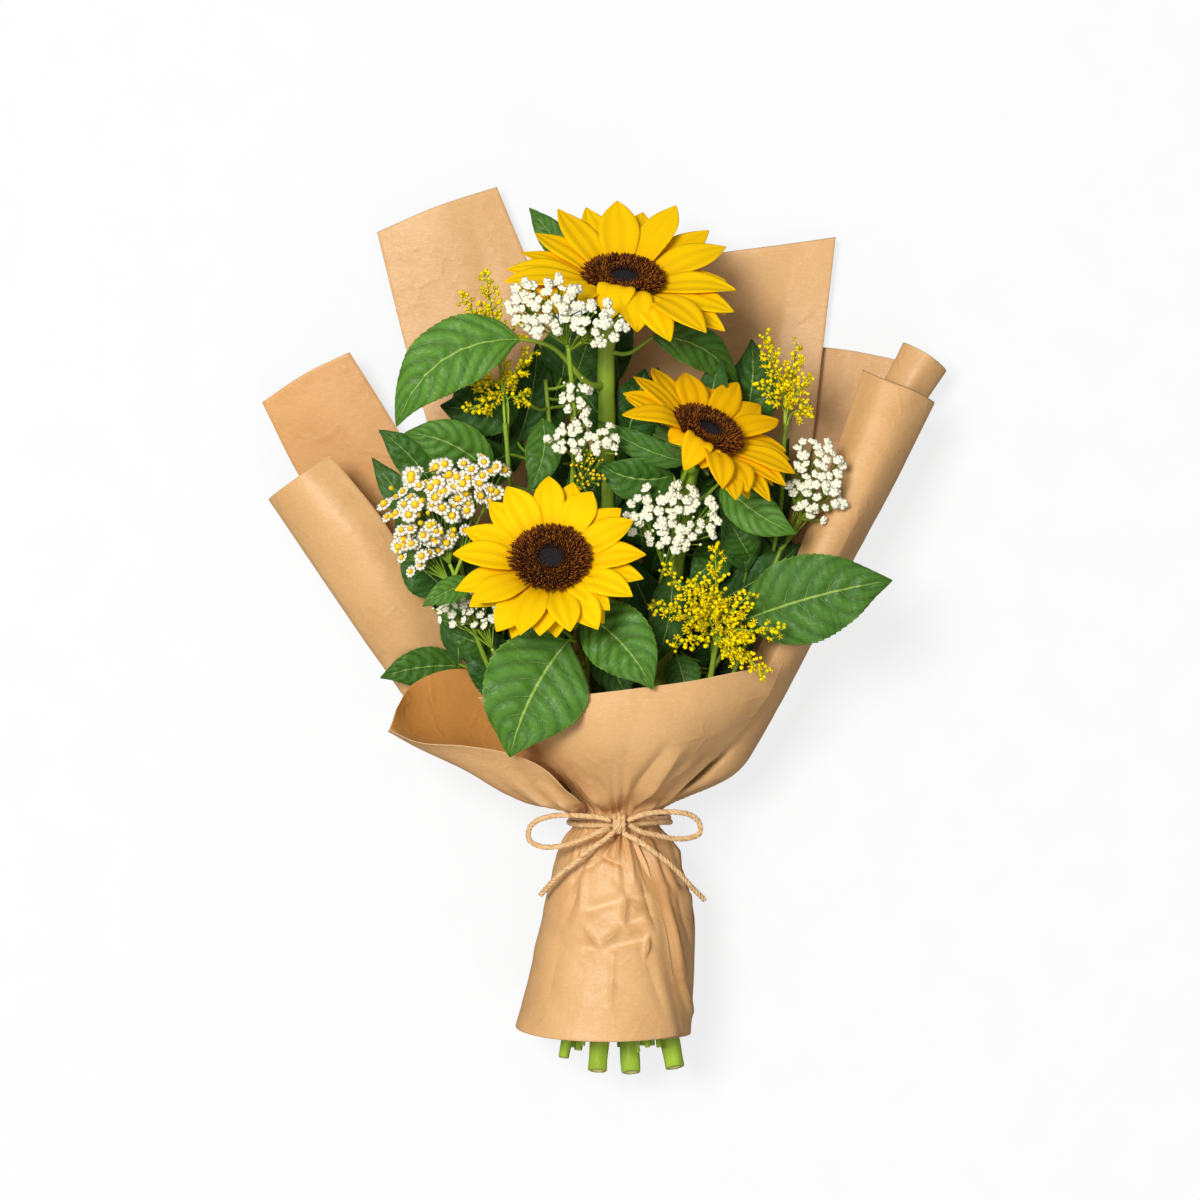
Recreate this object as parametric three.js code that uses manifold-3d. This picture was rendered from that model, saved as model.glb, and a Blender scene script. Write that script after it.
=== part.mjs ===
// A wrapped bunch of sunflowers lying on its back on a table: three blooms, sprays of small white
// and yellow flowers and leafy stems, rolled in sheets of brown paper and tied with twine at the neck.
// Millimetres. +Z is up, +Y runs from the cut stems to the blooms, and the origin is on the table
// under the middle of the bunch.
import * as THREE from 'three';
import { mergeVertices } from 'three/addons/utils/BufferGeometryUtils.js';
import Module from 'manifold-3d';

const wasm = await Module();
wasm.setup();

// Driving dimensions
const paperThick = 0.9; // kraft paper, stout enough to be a solid
const ply = 1.45; // from one sheet to the next where they are gathered
const leafThick = 1.3;
const petalThick = 1.2;
const twineRadius = 1.7;
const twineClear = 0.4; // between the twine and the outermost sheet
const bloomStem = 6; // radius of a sunflower's stem at the neck

// The inside of the wrap from the tied neck down to the hem: its centre and half sizes.
const neckY = -118;
const wrap = [
  { y: neckY + 5, x: 9, z: 50, wide: 24.8, deep: 23 },
  { y: neckY - 5, x: 9, z: 50, wide: 24.8, deep: 23 },
  { y: -131, x: 9, z: 49.5, wide: 30, deep: 27 },
  { y: -146, x: 9.5, z: 48.5, wide: 37, deep: 33 },
  { y: -178, x: 10, z: 47.5, wide: 45, deep: 40 },
  { y: -212, x: 6.5, z: 47.5, wide: 49, deep: 44 },
  { y: -253, x: 0.5, z: 48, wide: 53, deep: 46 },
];

// Places are given as a florist looking straight down at the bunch sees them: x and y are read in a
// plane midHeight above the table, and spot() slides them along the line of sight to their own height.
const eye = { x: -3.4, y: 20, z: 2568 };
const midHeight = 100;

const paper = new THREE.MeshStandardMaterial({ color: 0xd2a56c, roughness: 0.85 });
const twine = new THREE.MeshStandardMaterial({ color: 0xb98a4e, roughness: 0.95 });
const petalYellow = new THREE.MeshStandardMaterial({ color: 0xffc60a, roughness: 0.55 });
const discBrown = new THREE.MeshStandardMaterial({ color: 0x3a1c0b, roughness: 0.9 });
const stemGreen = new THREE.MeshStandardMaterial({ color: 0x4f8a1e, roughness: 0.5 });
const leafGreen = new THREE.MeshStandardMaterial({ color: 0x2a6420, roughness: 0.5 });
const whiteFlower = new THREE.MeshStandardMaterial({ color: 0xf5f2e2, roughness: 0.7 });
const goldenYellow = new THREE.MeshStandardMaterial({ color: 0xd9b90c, roughness: 0.7 });

const bunch = new THREE.Group();
const up = new THREE.Vector3(0, 0, 1);

// ---------- Small tools ----------

function spot([x, y, z]) {
  const shrink = (eye.z - z) / (eye.z - midHeight);
  return new THREE.Vector3(eye.x + (x - eye.x) * shrink, eye.y + (y - eye.y) * shrink, z);
}

function seeded(seed) {
  let state = seed >>> 0;
  return () => {
    state = (state + 0x6d2b79f5) >>> 0;
    let t = state;
    t = Math.imul(t ^ (t >>> 15), t | 1);
    t ^= t + Math.imul(t ^ (t >>> 7), t | 61);
    return ((t ^ (t >>> 14)) >>> 0) / 4294967296;
  };
}

const mix = (a, b, t) => a + (b - a) * t;
const radians = THREE.MathUtils.degToRad;
const goldenAngle = Math.PI * (3 - Math.sqrt(5));
const bend = (points) => new THREE.CatmullRomCurve3(points); // one smooth curve through them

// A closed geometry as a solid, turned right side out.
function solid(geometry) {
  const bare = new THREE.BufferGeometry();
  bare.setAttribute('position', geometry.getAttribute('position'));
  bare.setIndex(geometry.index);
  const merged = mergeVertices(bare, 1e-4);
  const at = (i) => new THREE.Vector3().fromBufferAttribute(merged.attributes.position, i);
  const corners = [];
  for (let i = 0; i < merged.index.count; i += 3) {
    const [a, b, c] = [0, 1, 2].map((k) => merged.index.getX(i + k));
    if (a !== b && b !== c && c !== a) corners.push([a, b, c]);
  }
  const volume = corners.reduce((sum, [a, b, c]) => sum + at(a).dot(at(b).cross(at(c))), 0);
  const faces = volume < 0 ? corners.map(([a, b, c]) => [a, c, b]) : corners;
  return new wasm.Manifold(
    new wasm.Mesh({
      numProp: 3,
      vertProperties: new Float32Array(merged.attributes.position.array),
      triVerts: new Uint32Array(faces.flat()),
    }),
  );
}

// Solids joined as one body, without the crumbs that joining leaves.
function fused(solids) {
  const bodies = wasm.Manifold.union(solids).simplify(0.04).decompose();
  return bodies.reduce((best, one) => (one.volume() > best.volume() ? one : best));
}

function addNode(name, body, material) {
  const made = body.getMesh();
  const geometry = new THREE.BufferGeometry();
  const [places, faces] = [new Float32Array(made.vertProperties), new Uint32Array(made.triVerts)];
  geometry.setAttribute('position', new THREE.BufferAttribute(places, 3));
  geometry.setIndex(new THREE.BufferAttribute(faces, 1));
  geometry.computeVertexNormals();
  const mesh = new THREE.Mesh(geometry, material);
  mesh.name = name;
  bunch.add(mesh);
}

// A skin over rings of points; a ring of one point is a tip.
function loft(rings) {
  const starts = rings.map((ring, i) => rings.slice(0, i).reduce((sum, one) => sum + one.length, 0));
  const faces = [];
  for (let i = 0; i + 1 < rings.length; i++) {
    const [a, b] = [rings[i].length, rings[i + 1].length];
    for (let k = 0; k < Math.max(a, b); k++) {
      const [a0, a1] = [starts[i] + (k % a), starts[i] + ((k + 1) % a)];
      const [b0, b1] = [starts[i + 1] + (k % b), starts[i + 1] + ((k + 1) % b)];
      if (a > 1) faces.push(a0, a1, b1);
      if (b > 1) faces.push(a0, b1, b0);
    }
  }
  const last = starts.at(-1);
  for (let k = 1; k + 1 < rings[0].length; k++) faces.push(0, k + 1, k);
  for (let k = 1; k + 1 < rings.at(-1).length; k++) faces.push(last, last + k, last + k + 1);
  return new THREE.BufferGeometry().setFromPoints(rings.flat()).setIndex(faces);
}

// A round stalk along a curve, its radius running from the start's to the end's.
function stalk(curve, startRadius, endRadius, sides, steps) {
  const frames = curve.computeFrenetFrames(steps);
  const rings = Array.from({ length: steps + 1 }, (_, i) => {
    const radius = mix(startRadius, endRadius, i / steps);
    return Array.from({ length: sides }, (_unused, k) => {
      const turn = (k / sides) * Math.PI * 2;
      return curve
        .getPointAt(i / steps)
        .addScaledVector(frames.normals[i], radius * Math.cos(turn))
        .addScaledVector(frames.binormals[i], radius * Math.sin(turn));
    });
  });
  return solid(loft(rings));
}

// A blade along its midrib. ridge is the share of its thickness that stands above the midrib, fold
// lifts its edges and teeth cuts them.
function blade(midrib, halfWidths, face, { thick, ridge = 0.5, fold = 0, teeth = 0 }) {
  const last = midrib.length - 1;
  const rings = midrib.map((centre, i) => {
    const along = midrib[Math.min(i + 1, last)].clone().sub(midrib[Math.max(i - 1, 0)]).normalize();
    const across = new THREE.Vector3().crossVectors(along, face).normalize();
    const out = new THREE.Vector3().crossVectors(across, along);
    const half = halfWidths[i] * (1 + (i % 2 ? teeth : -teeth));
    if (half < 0.05) return [centre.clone()];
    const edge = (side) => {
      const place = centre.clone().addScaledVector(across, side * half);
      return place.addScaledVector(out, half * fold);
    };
    const top = centre.clone().addScaledVector(out, thick * ridge);
    const under = centre.clone().addScaledVector(out, thick * (ridge - 1));
    if (ridge === 1) return [edge(-1), top, edge(1)];
    return ridge === 0 ? [edge(-1), edge(1), under] : [edge(-1), top, edge(1), under];
  });
  return solid(loft(rings));
}

function nearestOn(curve, place) {
  const tries = curve.getSpacedPoints(120);
  return tries.reduce((best, one) => (one.distanceTo(place) < best.distanceTo(place) ? one : best));
}

// ---------- Leaves ----------

// base and tip are spots; bow bends the midrib sideways and arch lifts it, in mm at its middle, and
// lean is the way its face looks.
function leaf({ base, tip, width, bow = 0, arch = 5, lean = [0, 0], steps = 6 }) {
  const [from, to] = [spot(base), spot(tip)];
  const along = to.clone().sub(from);
  const side = new THREE.Vector3().crossVectors(up, along).normalize();
  const stops = Array.from({ length: steps + 1 }, (_, i) => i / steps);
  const midrib = stops.map((t) => {
    const hump = 4 * t * (1 - t);
    const place = from.clone().addScaledVector(along, t);
    return place.addScaledVector(side, bow * hump).addScaledVector(up, arch * hump);
  });
  const swell = (t) => Math.max(0.1, Math.sin(Math.PI * t ** 0.8) ** 0.85);
  const halves = stops.map((t) => (t === 1 ? 0 : (width / 2) * swell(t)));
  const face = new THREE.Vector3(lean[0], lean[1], 1).normalize();
  const large = width > 40;
  const make = { thick: leafThick, ridge: large ? 0.5 : 0, fold: large ? 0.12 : 0, teeth: 0.08 };
  return { midrib, body: blade(midrib, halves, face, make) };
}

// A leaf and the stalk that joins it to a stem, by way of the spots in via.
function stalkedLeaf(stem, spec, radius) {
  const { midrib, body } = leaf(spec);
  const ways = [...spec.via.map(spot), ...midrib.slice(0, 2)];
  const line = bend([nearestOn(stem, ways[0]), ...ways]);
  return [stalk(line, radius, 0.7, 3, ways.length), body];
}

// ---------- Sunflowers ----------

// petals: angle in the bloom's plane, reach from its centre, layer (0 in front, 1 and 2 behind) and
// how far the tip bends up.
const sunflowers = [
  {
    name: 'front_sunflower', centre: [-34, 45, 150], tilt: 36, toward: 90, disc: 22.5, petalWidth: 17,
    lift: 14,
    petals: [
      [92, 60, 0, -2], [75, 59, 1, 0], [63, 55, 0, -2], [42, 57, 1, 0], [27, 57, 0, -3],
      [2, 58, 0, -3],
      [-15, 58, 1, -2], [-30, 58, 0, -3], [-47, 51, 2, 0], [-62, 59, 1, -3], [-78, 58, 0, -2],
      [-95, 57, 1, -2], [-107, 62, 0, -3], [-121, 62, 1, -3], [-142, 59, 0, -2], [-160, 61, 2, -2],
      [178, 59, 0, -3], [153, 59, 2, -2], [131, 57, 1, 0], [116, 59, 0, -2],
    ],
    stem: [[-35, 26, 118], [-33, -5, 92], [-16, -66, 72]], slot: [4.6, 57.6], end: [-5, -272, 60],
    leaves: [
      {
        via: [[-19, -5, 118]], base: [-13, -8, 132], tip: [-59, -77, 134], width: 44, bow: -6,
        steps: 10,
        lean: [-0.1, -0.25],
      },
      {
        via: [[-19, 3, 112]], base: [-11, 5, 130], tip: [29, -35, 146], width: 31, bow: 5, steps: 9,
        lean: [0.1, -0.2],
      },
      {
        via: [[-59, 22, 106]], base: [-80, 31, 120], tip: [-113, 16, 128], width: 15, bow: -2,
        arch: 4,
      },
    ],
  },
  {
    name: 'right_sunflower', centre: [63, 124, 118], tilt: 58, toward: 63, disc: 21, petalWidth: 17,
    lift: 8,
    petals: [
      [-178, 57, 0, -4], [-149, 60, 0, -2], [-118, 36, 2, 3], [-95, 44, 1, -6], [-80, 34, 2, -2],
      [-67, 57, 0, -4],
      [-56, 61, 1, -4], [-44, 54, 0, -5], [-27, 60, 2, -4], [-10, 58, 1, -3], [4, 60, 0, -3],
      [22, 58, 1, -3],
      [36, 60, 2, -2], [53, 62, 0, 0], [70, 66, 1, 0], [88, 67, 0, 1], [104, 60, 1, 0],
      [120, 60, 0, -1],
      [139, 66, 1, -2], [160, 60, 0, -3],
    ],
    stem: [[52, 100, 96], [45, 57, 84], [34, -29, 70]], slot: [16, 53], end: [43, -270, 54],
    leaves: [
      {
        via: [[46, 89, 98]], base: [51, 105, 108], tip: [-5, 131, 98], width: 17, bow: 4, arch: 8,
        lean: [0, -0.3],
      },
      {
        via: [[44, 83, 98]], base: [42, 97, 98], tip: [-5, 103, 102], width: 22, bow: 6, arch: 3,
        lean: [0, -0.2],
      },
      { via: [[58, 82, 90]], base: [72, 93, 100], tip: [118, 61, 118], width: 26, bow: -4 },
    ],
  },
  {
    name: 'top_sunflower', centre: [11, 218, 100], tilt: 55, toward: 84, disc: 23.5, petalWidth: 20,
    lift: 9,
    petals: [
      [-167, 75, 0, -6], [-152, 72, 2, -4], [-133, 66, 1, -4], [-118, 44, 2, 3], [-98, 46, 0, -7],
      [-76, 52, 1, -7],
      [-60, 62, 2, -7], [-44, 74, 0, -7], [-27, 73, 2, -7], [-14, 72, 1, -6], [1, 70, 0, -5],
      [18, 67, 2, -2],
      [36, 76, 0, 0], [54, 82, 2, 1], [71, 78, 0, 1], [84, 70, 1, 0], [97, 72, 0, 0], [111, 72, 1, 1],
      [126, 73, 0, 0], [142, 71, 1, -2], [158, 72, 2, -2], [176, 73, 1, -5],
    ],
    stem: [[2, 184, 84], [1, 131, 76], [0, 45, 66]], slot: [6, 45], end: [16, -273, 50],
    leaves: [
      {
        via: [[-10, 153, 90], [-33, 176, 104]], base: [-53, 181, 110], tip: [-129, 127, 100],
        width: 42, bow: 10, arch: 8,
        lean: [-0.25, 0], steps: 10,
      },
      {
        via: [[14, 172, 90]], base: [29, 182, 90], tip: [82, 151, 56], width: 26, bow: 9, arch: 8,
        lean: [0.2, 0.1], steps: 9,
      },
      { via: [[-6, 205, 68]], base: [-19, 227, 56], tip: [-47, 262, 50], width: 18, arch: 3 },
    ],
  },
];

// A turned body about the Z axis, from places of radius and height.
function lathe(profile, sectors) {
  const outline = profile.map(([radius, height]) => new THREE.Vector2(radius, height));
  return new THREE.LatheGeometry(outline, sectors).rotateX(Math.PI / 2);
}

// The florets of the disc as relief: a raised spiky ring round a low middle.
function discSolid(radius) {
  const sectors = 20;
  const profile = [
    [0, -2.2], [0.74, -2.2], [0.97, 0.2], [1, 1.6], [0.88, 3.8], [0.7, 4.6], [0.48, 3.2], [0.24, 2.3],
    [0, 2.1],
  ];
  const geometry = lathe(profile.map(([share, z]) => [share * radius, z]), sectors);
  const places = geometry.attributes.position;
  for (let i = 0; i < places.count; i++) {
    const [x, y, z] = [places.getX(i), places.getY(i), places.getZ(i)];
    const reach = Math.hypot(x, y) / radius;
    if (z < 1 || reach < 0.2) continue;
    const sector = Math.round((Math.atan2(y, x) / (Math.PI * 2)) * sectors);
    const stand = ((sector + Math.round(reach * 5)) % 2 ? 0.9 : -0.6) * reach;
    const spread = 1 + 0.04 * stand;
    places.setXYZ(i, x * spread, y * spread, z + stand);
  }
  return solid(geometry);
}

// Shares of a petal's length and of its half width, from its root to its tip.
const frontPetal = [[0, 0.2], [0.3, 0.68], [0.62, 1], [0.86, 0.62], [1, 0]];
const hiddenPetal = [[0, 0.2], [0.36, 0.74], [0.7, 1], [1, 0]];
const petalRoot = 15; // from the bloom's axis to where a petal starts, inside the ring
const petalStart = { front: -4.4, step: 1.2 }; // below the disc's edge, and a layer further back
const petalArch = 2.6;

// One ray petal, in the bloom's frame, from inside the ring that carries them all.
function petalSolid([angle, reach, layer, tipBend], { disc, petalWidth, lift }) {
  const start = petalStart.front - petalStart.step * layer;
  const rise = Math.tan(radians(lift * (1 - 0.3 * layer)));
  const turn = new THREE.Matrix4().makeRotationZ(radians(angle));
  const outline = layer ? hiddenPetal : frontPetal;
  const midrib = outline.map(([t]) => {
    const out = mix(petalRoot, reach, t);
    const free = Math.max(0, (out - disc) / (reach - disc));
    const curl = petalArch * Math.sin(Math.PI * free) + tipBend * free * free;
    const z = start + rise * (out - petalRoot) + curl;
    return new THREE.Vector3(out, 0, z).applyMatrix4(turn);
  });
  const halves = outline.map(([, share]) => (share * petalWidth * (1 - 0.04 * layer)) / 2);
  return blade(midrib, halves, up, { thick: petalThick, ridge: 1, fold: -0.05 });
}

// The flat ring behind the disc's edge that every petal grows from.
function petalRing(disc) {
  const [inner, outer] = [11, disc * 0.9];
  const [back, edge, front] = [-8.6, -5.4, -2.8];
  const outside = [[outer - 2, back], [outer, edge], [disc * 0.7, front]];
  const profile = [[inner, back], ...outside, [inner, front], [inner, back]];
  return solid(lathe(profile, 15));
}

// The green cup behind the disc, with the points of its bracts in a star.
function calyx(disc) {
  const points = 16;
  const ring = (reach, z, star = reach) =>
    Array.from({ length: points }, (_, k) => {
      const turn = (k / points) * Math.PI * 2;
      const isPoint = k % 2 === 0 && star > reach;
      const out = isPoint ? star : reach;
      return new THREE.Vector3(out * Math.cos(turn), out * Math.sin(turn), isPoint ? z - 0.5 : z);
    });
  const cup = [ring(disc * 0.62, -13), ring(disc * 0.86, -11.4, 33), ring(disc * 0.8, -9.2, 24)];
  return solid(loft([[new THREE.Vector3(0, 0, -19)], ...cup, [new THREE.Vector3(0, 0, -9.2)]]));
}

// The bloom's own frame: its centre, its axis and the way in its plane that angles start from.
function bloomFrame({ centre, tilt, toward }) {
  const [lean, way] = [radians(tilt), radians(toward)];
  const axis = new THREE.Vector3(Math.sin(lean), 0, Math.cos(lean)).applyAxisAngle(up, way);
  const start = new THREE.Vector3(Math.sin(way), -Math.cos(way), 0);
  return new THREE.Matrix4().makeBasis(start, axis.clone().cross(start), axis).setPosition(spot(centre));
}

function neckWay(stem, slot, end) {
  return [...stem.map(spot), new THREE.Vector3(slot[0], neckY, slot[1]), spot(end)];
}

function addSunflower(flower) {
  const frame = bloomFrame(flower);
  const place = (body) => body.transform(frame.elements);
  const petals = flower.petals.map((row) => petalSolid(row, flower));
  addNode(`${flower.name}_petals`, place(fused([petalRing(flower.disc), ...petals])), petalYellow);
  addNode(`${flower.name}_disc`, place(discSolid(flower.disc)), discBrown);
  const behind = [-14, -25].map((z) => new THREE.Vector3(0, 0, z).applyMatrix4(frame));
  const line = bend([...behind, ...neckWay(flower.stem, flower.slot, flower.end)]);
  const stem = stalk(line, 5.2, bloomStem, 7, 12);
  const leaves = flower.leaves.flatMap((one) => stalkedLeaf(line, one, 1.6));
  addNode(`${flower.name}_stem`, fused([stem, place(calyx(flower.disc)), ...leaves]), stemGreen);
}

sunflowers.forEach(addSunflower);

// ---------- Sprays of small white flowers ----------

// A floret head: a funnel from its foot up to a rim of points, with a low middle.
function floretHead(centre, facing, radius) {
  const sides = 5;
  const side = new THREE.Vector3().crossVectors(facing, new THREE.Vector3(0.31, 0.9, 0.2)).normalize();
  const other = new THREE.Vector3().crossVectors(facing, side);
  const rim = Array.from({ length: sides }, (_, k) => {
    const turn = (k / sides) * Math.PI * 2;
    const place = centre.clone().addScaledVector(side, radius * Math.cos(turn));
    return place.addScaledVector(other, radius * Math.sin(turn));
  });
  const onAxis = (share) => [centre.clone().addScaledVector(facing, share * radius)];
  return solid(loft([onAxis(-1.7), rim, onAxis(0.35)]));
}

// A cluster: heads set by the golden angle over a dome, on a smaller core that narrows to its fork.
function umbel({ fork, centre, size, heads, head, seed }) {
  const random = seeded(seed);
  const [from, middle] = [spot(fork), spot(centre)];
  const onDome = (reach, turn, drop) => {
    const place = new THREE.Vector3(Math.cos(turn), Math.sin(turn), -reach).multiplyScalar(reach);
    return place.multiply(new THREE.Vector3(...size)).add(middle).addScaledVector(up, -drop);
  };
  const turns = Array.from({ length: 7 }, (_, k) => (k / 7) * Math.PI * 2);
  const around = (reach, drop) => turns.map((turn) => onDome(reach, turn, drop));
  const waist = around(0.85, size[2] * 0.5).map((place) => place.lerp(from, 0.62));
  const sunk = 0.8 * head;
  const core = loft([[from], waist, around(0.84, sunk), around(0.45, sunk), [onDome(0, 0, sunk)]]);
  const pieces = [solid(core)];
  for (let k = 0; k < heads; k++) {
    const reach = 0.92 * Math.sqrt((k + 0.5) / heads);
    const place = onDome(reach, k * goldenAngle, -1.2 * random());
    const facing = place.clone().sub(from).normalize().addScaledVector(up, 0.6).normalize();
    pieces.push(floretHead(place, facing, head * mix(0.9, 1.1, random())));
  }
  return pieces;
}

const whiteSprays = [
  {
    name: 'chamomile_spray', slot: [-2.2, 52.8], end: [-26, -263, 52], radius: 1.8,
    stem: [[-93, 35, 98], [-65, -35, 78]],
    umbels: [
      {
        fork: [-96, 42, 100], centre: [-110, 79, 124], size: [27, 24, 14], heads: 16, head: 5.4,
        seed: 11,
      },
      {
        fork: [-89, 45, 100], centre: [-80, 93, 122], size: [18, 15, 8], heads: 8, head: 5.4,
        seed: 12,
      },
    ],
  },
  {
    name: 'yarrow_spray', slot: [-1.3, 40.9], end: [-17, -258, 44], radius: 1.8,
    stem: [[-23, 177, 128], [-19, 125, 110], [-21, 69, 90]],
    umbels: [
      {
        fork: [-24, 177, 130], centre: [-37, 203, 161], size: [24, 17, 10], heads: 14, head: 5,
        seed: 21,
      },
      {
        fork: [-22, 174, 128], centre: [-5, 191, 161], size: [15, 12, 7], heads: 7, head: 5, seed: 22,
      },
      {
        fork: [-19, 111, 108], centre: [-16, 125, 126], size: [19, 15, 8], heads: 7, head: 5,
        seed: 23,
      },
    ],
  },
  {
    name: 'white_spray_middle', slot: [4.5, 65.6], end: [20, -259, 68], radius: 1.6,
    stem: [[34, 32, 96], [29, -35, 92]],
    umbels: [
      {
        fork: [36, 39, 98], centre: [41, 71, 120], size: [29, 22, 10], heads: 16, head: 5.4, seed: 31,
      },
    ],
  },
  {
    name: 'white_spray_right', slot: [21.3, 59.6], end: [33, -256, 68], radius: 1.6,
    stem: [[108, 51, 82], [74, -35, 76]],
    umbels: [
      {
        fork: [111, 54, 80], centre: [131, 95, 104], size: [18, 26, 10], heads: 13, head: 5.4,
        seed: 41,
      },
    ],
  },
  {
    name: 'white_spray_low', slot: [-3.2, 58.6], end: [-14, -255, 66], radius: 1.5,
    stem: [[-69, -12, 93], [-45, -49, 82], [-17, -88, 68]],
    umbels: [
      {
        fork: [-70, -10, 93], centre: [-89, 13, 104], size: [19, 11, 6], heads: 7, head: 5, seed: 51,
      },
    ],
  },
];

whiteSprays.forEach(({ name, slot, end, radius, stem, umbels }) => {
  const line = bend(neckWay(stem, slot, end));
  const main = stalk(line, radius * 0.8, radius, 4, 8);
  const forks = umbels.map(({ fork, centre }) => {
    const [foot, reach] = [spot(fork), spot(fork).lerp(spot(centre), 0.25)];
    return stalk(bend([nearestOn(line, foot), foot, reach]), 1.3, 1.1, 3, 2);
  });
  addNode(name, fused([main, ...forks, ...umbels.flatMap(umbel)]), whiteFlower);
});

// ---------- Goldenrod ----------

// A plume: a thin side stalk from the root, then a core with buds raised from it in a chequer.
function plume(root, [from, to, thick]) {
  const [start, tip] = [spot(from), spot(to)];
  const steps = Math.round(start.distanceTo(tip) / 8) + 1;
  const curve = bend([start, start.clone().lerp(tip, 0.5).addScaledVector(up, 4), tip]);
  const ring = (centre, along, i, reach) => {
    const side = new THREE.Vector3().crossVectors(along, up).normalize();
    const other = new THREE.Vector3().crossVectors(side, along).normalize();
    return Array.from({ length: 4 }, (_, k) => {
      const turn = (k / 4 + i / 8) * Math.PI * 2;
      const stand = reach * ((k + i) % 2 ? 1 : 0.45);
      const place = centre.clone().addScaledVector(side, stand * Math.cos(turn));
      return place.addScaledVector(other, stand * Math.sin(turn));
    });
  };
  const stalkWay = start.clone().sub(root);
  const rings = [ring(root, stalkWay, 0, 1.4), ring(start, stalkWay, 0, 1.4)];
  for (let i = 1; i < steps; i++) {
    const along = i / steps;
    const reach = (thick / 2) * (1 - 0.6 * along);
    rings.push(ring(curve.getPointAt(along), curve.getTangentAt(along), i, reach));
  }
  return solid(loft([...rings, [tip]]));
}

const goldenrods = [
  {
    name: 'goldenrod_left', slot: [-1.1, 46.2], end: [-21, -256, 46],
    stem: [[-62, 129, 83], [-53, 45, 72]],
    plumes: [
      [[-65, 168, 84], [-74, 223, 84], 9], [[-68, 174, 84], [-88, 209, 86], 8],
      [[-65, 153, 82], [-82, 153, 92], 9],
      [[-62, 147, 82], [-87, 136, 92], 8], [[-62, 153, 84], [-44, 174, 90], 9],
      [[-60, 144, 82], [-47, 147, 88], 8],
      [[-62, 174, 84], [-53, 194, 88], 8],
    ],
  },
  {
    name: 'goldenrod_right', slot: [20.9, 46], end: [29, -255, 38],
    stem: [[111, 128, 66], [102, 45, 60]],
    plumes: [
      [[110, 144, 66], [98, 184, 70], 9], [[111, 144, 66], [119, 178, 70], 8],
      [[113, 140, 68], [126, 159, 74], 8],
      [[110, 137, 66], [95, 155, 74], 8], [[114, 134, 68], [127, 140, 76], 8],
    ],
  },
  {
    name: 'goldenrod_front', slot: [13.5, 61], end: [26, -256, 74],
    stem: [[69, -5, 112], [58, -54, 98]],
    plumes: [
      [[68, 6, 112], [68, 54, 122], 9], [[65, 6, 114], [36, 41, 122], 8],
      [[66, 3, 114], [29, 18, 124], 9],
      [[68, 6, 114], [55, 34, 126], 8], [[71, 6, 114], [90, 25, 124], 9],
      [[72, 0, 114], [110, 2, 128], 9],
      [[72, -2, 114], [99, -26, 134], 9], [[69, -3, 114], [80, -18, 132], 8],
      [[66, -2, 114], [41, -8, 128], 8],
    ],
  },
];

goldenrods.forEach(({ name, slot, end, stem, plumes }) => {
  const line = bend(neckWay(stem, slot, end));
  const branches = plumes.map((one, k) => plume(line.getPoint(0.01 * k), one));
  addNode(name, fused([stalk(line, 1.5, 1.7, 4, 8), ...branches]), goldenYellow);
});

// ---------- Leafy stems ----------

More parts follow.
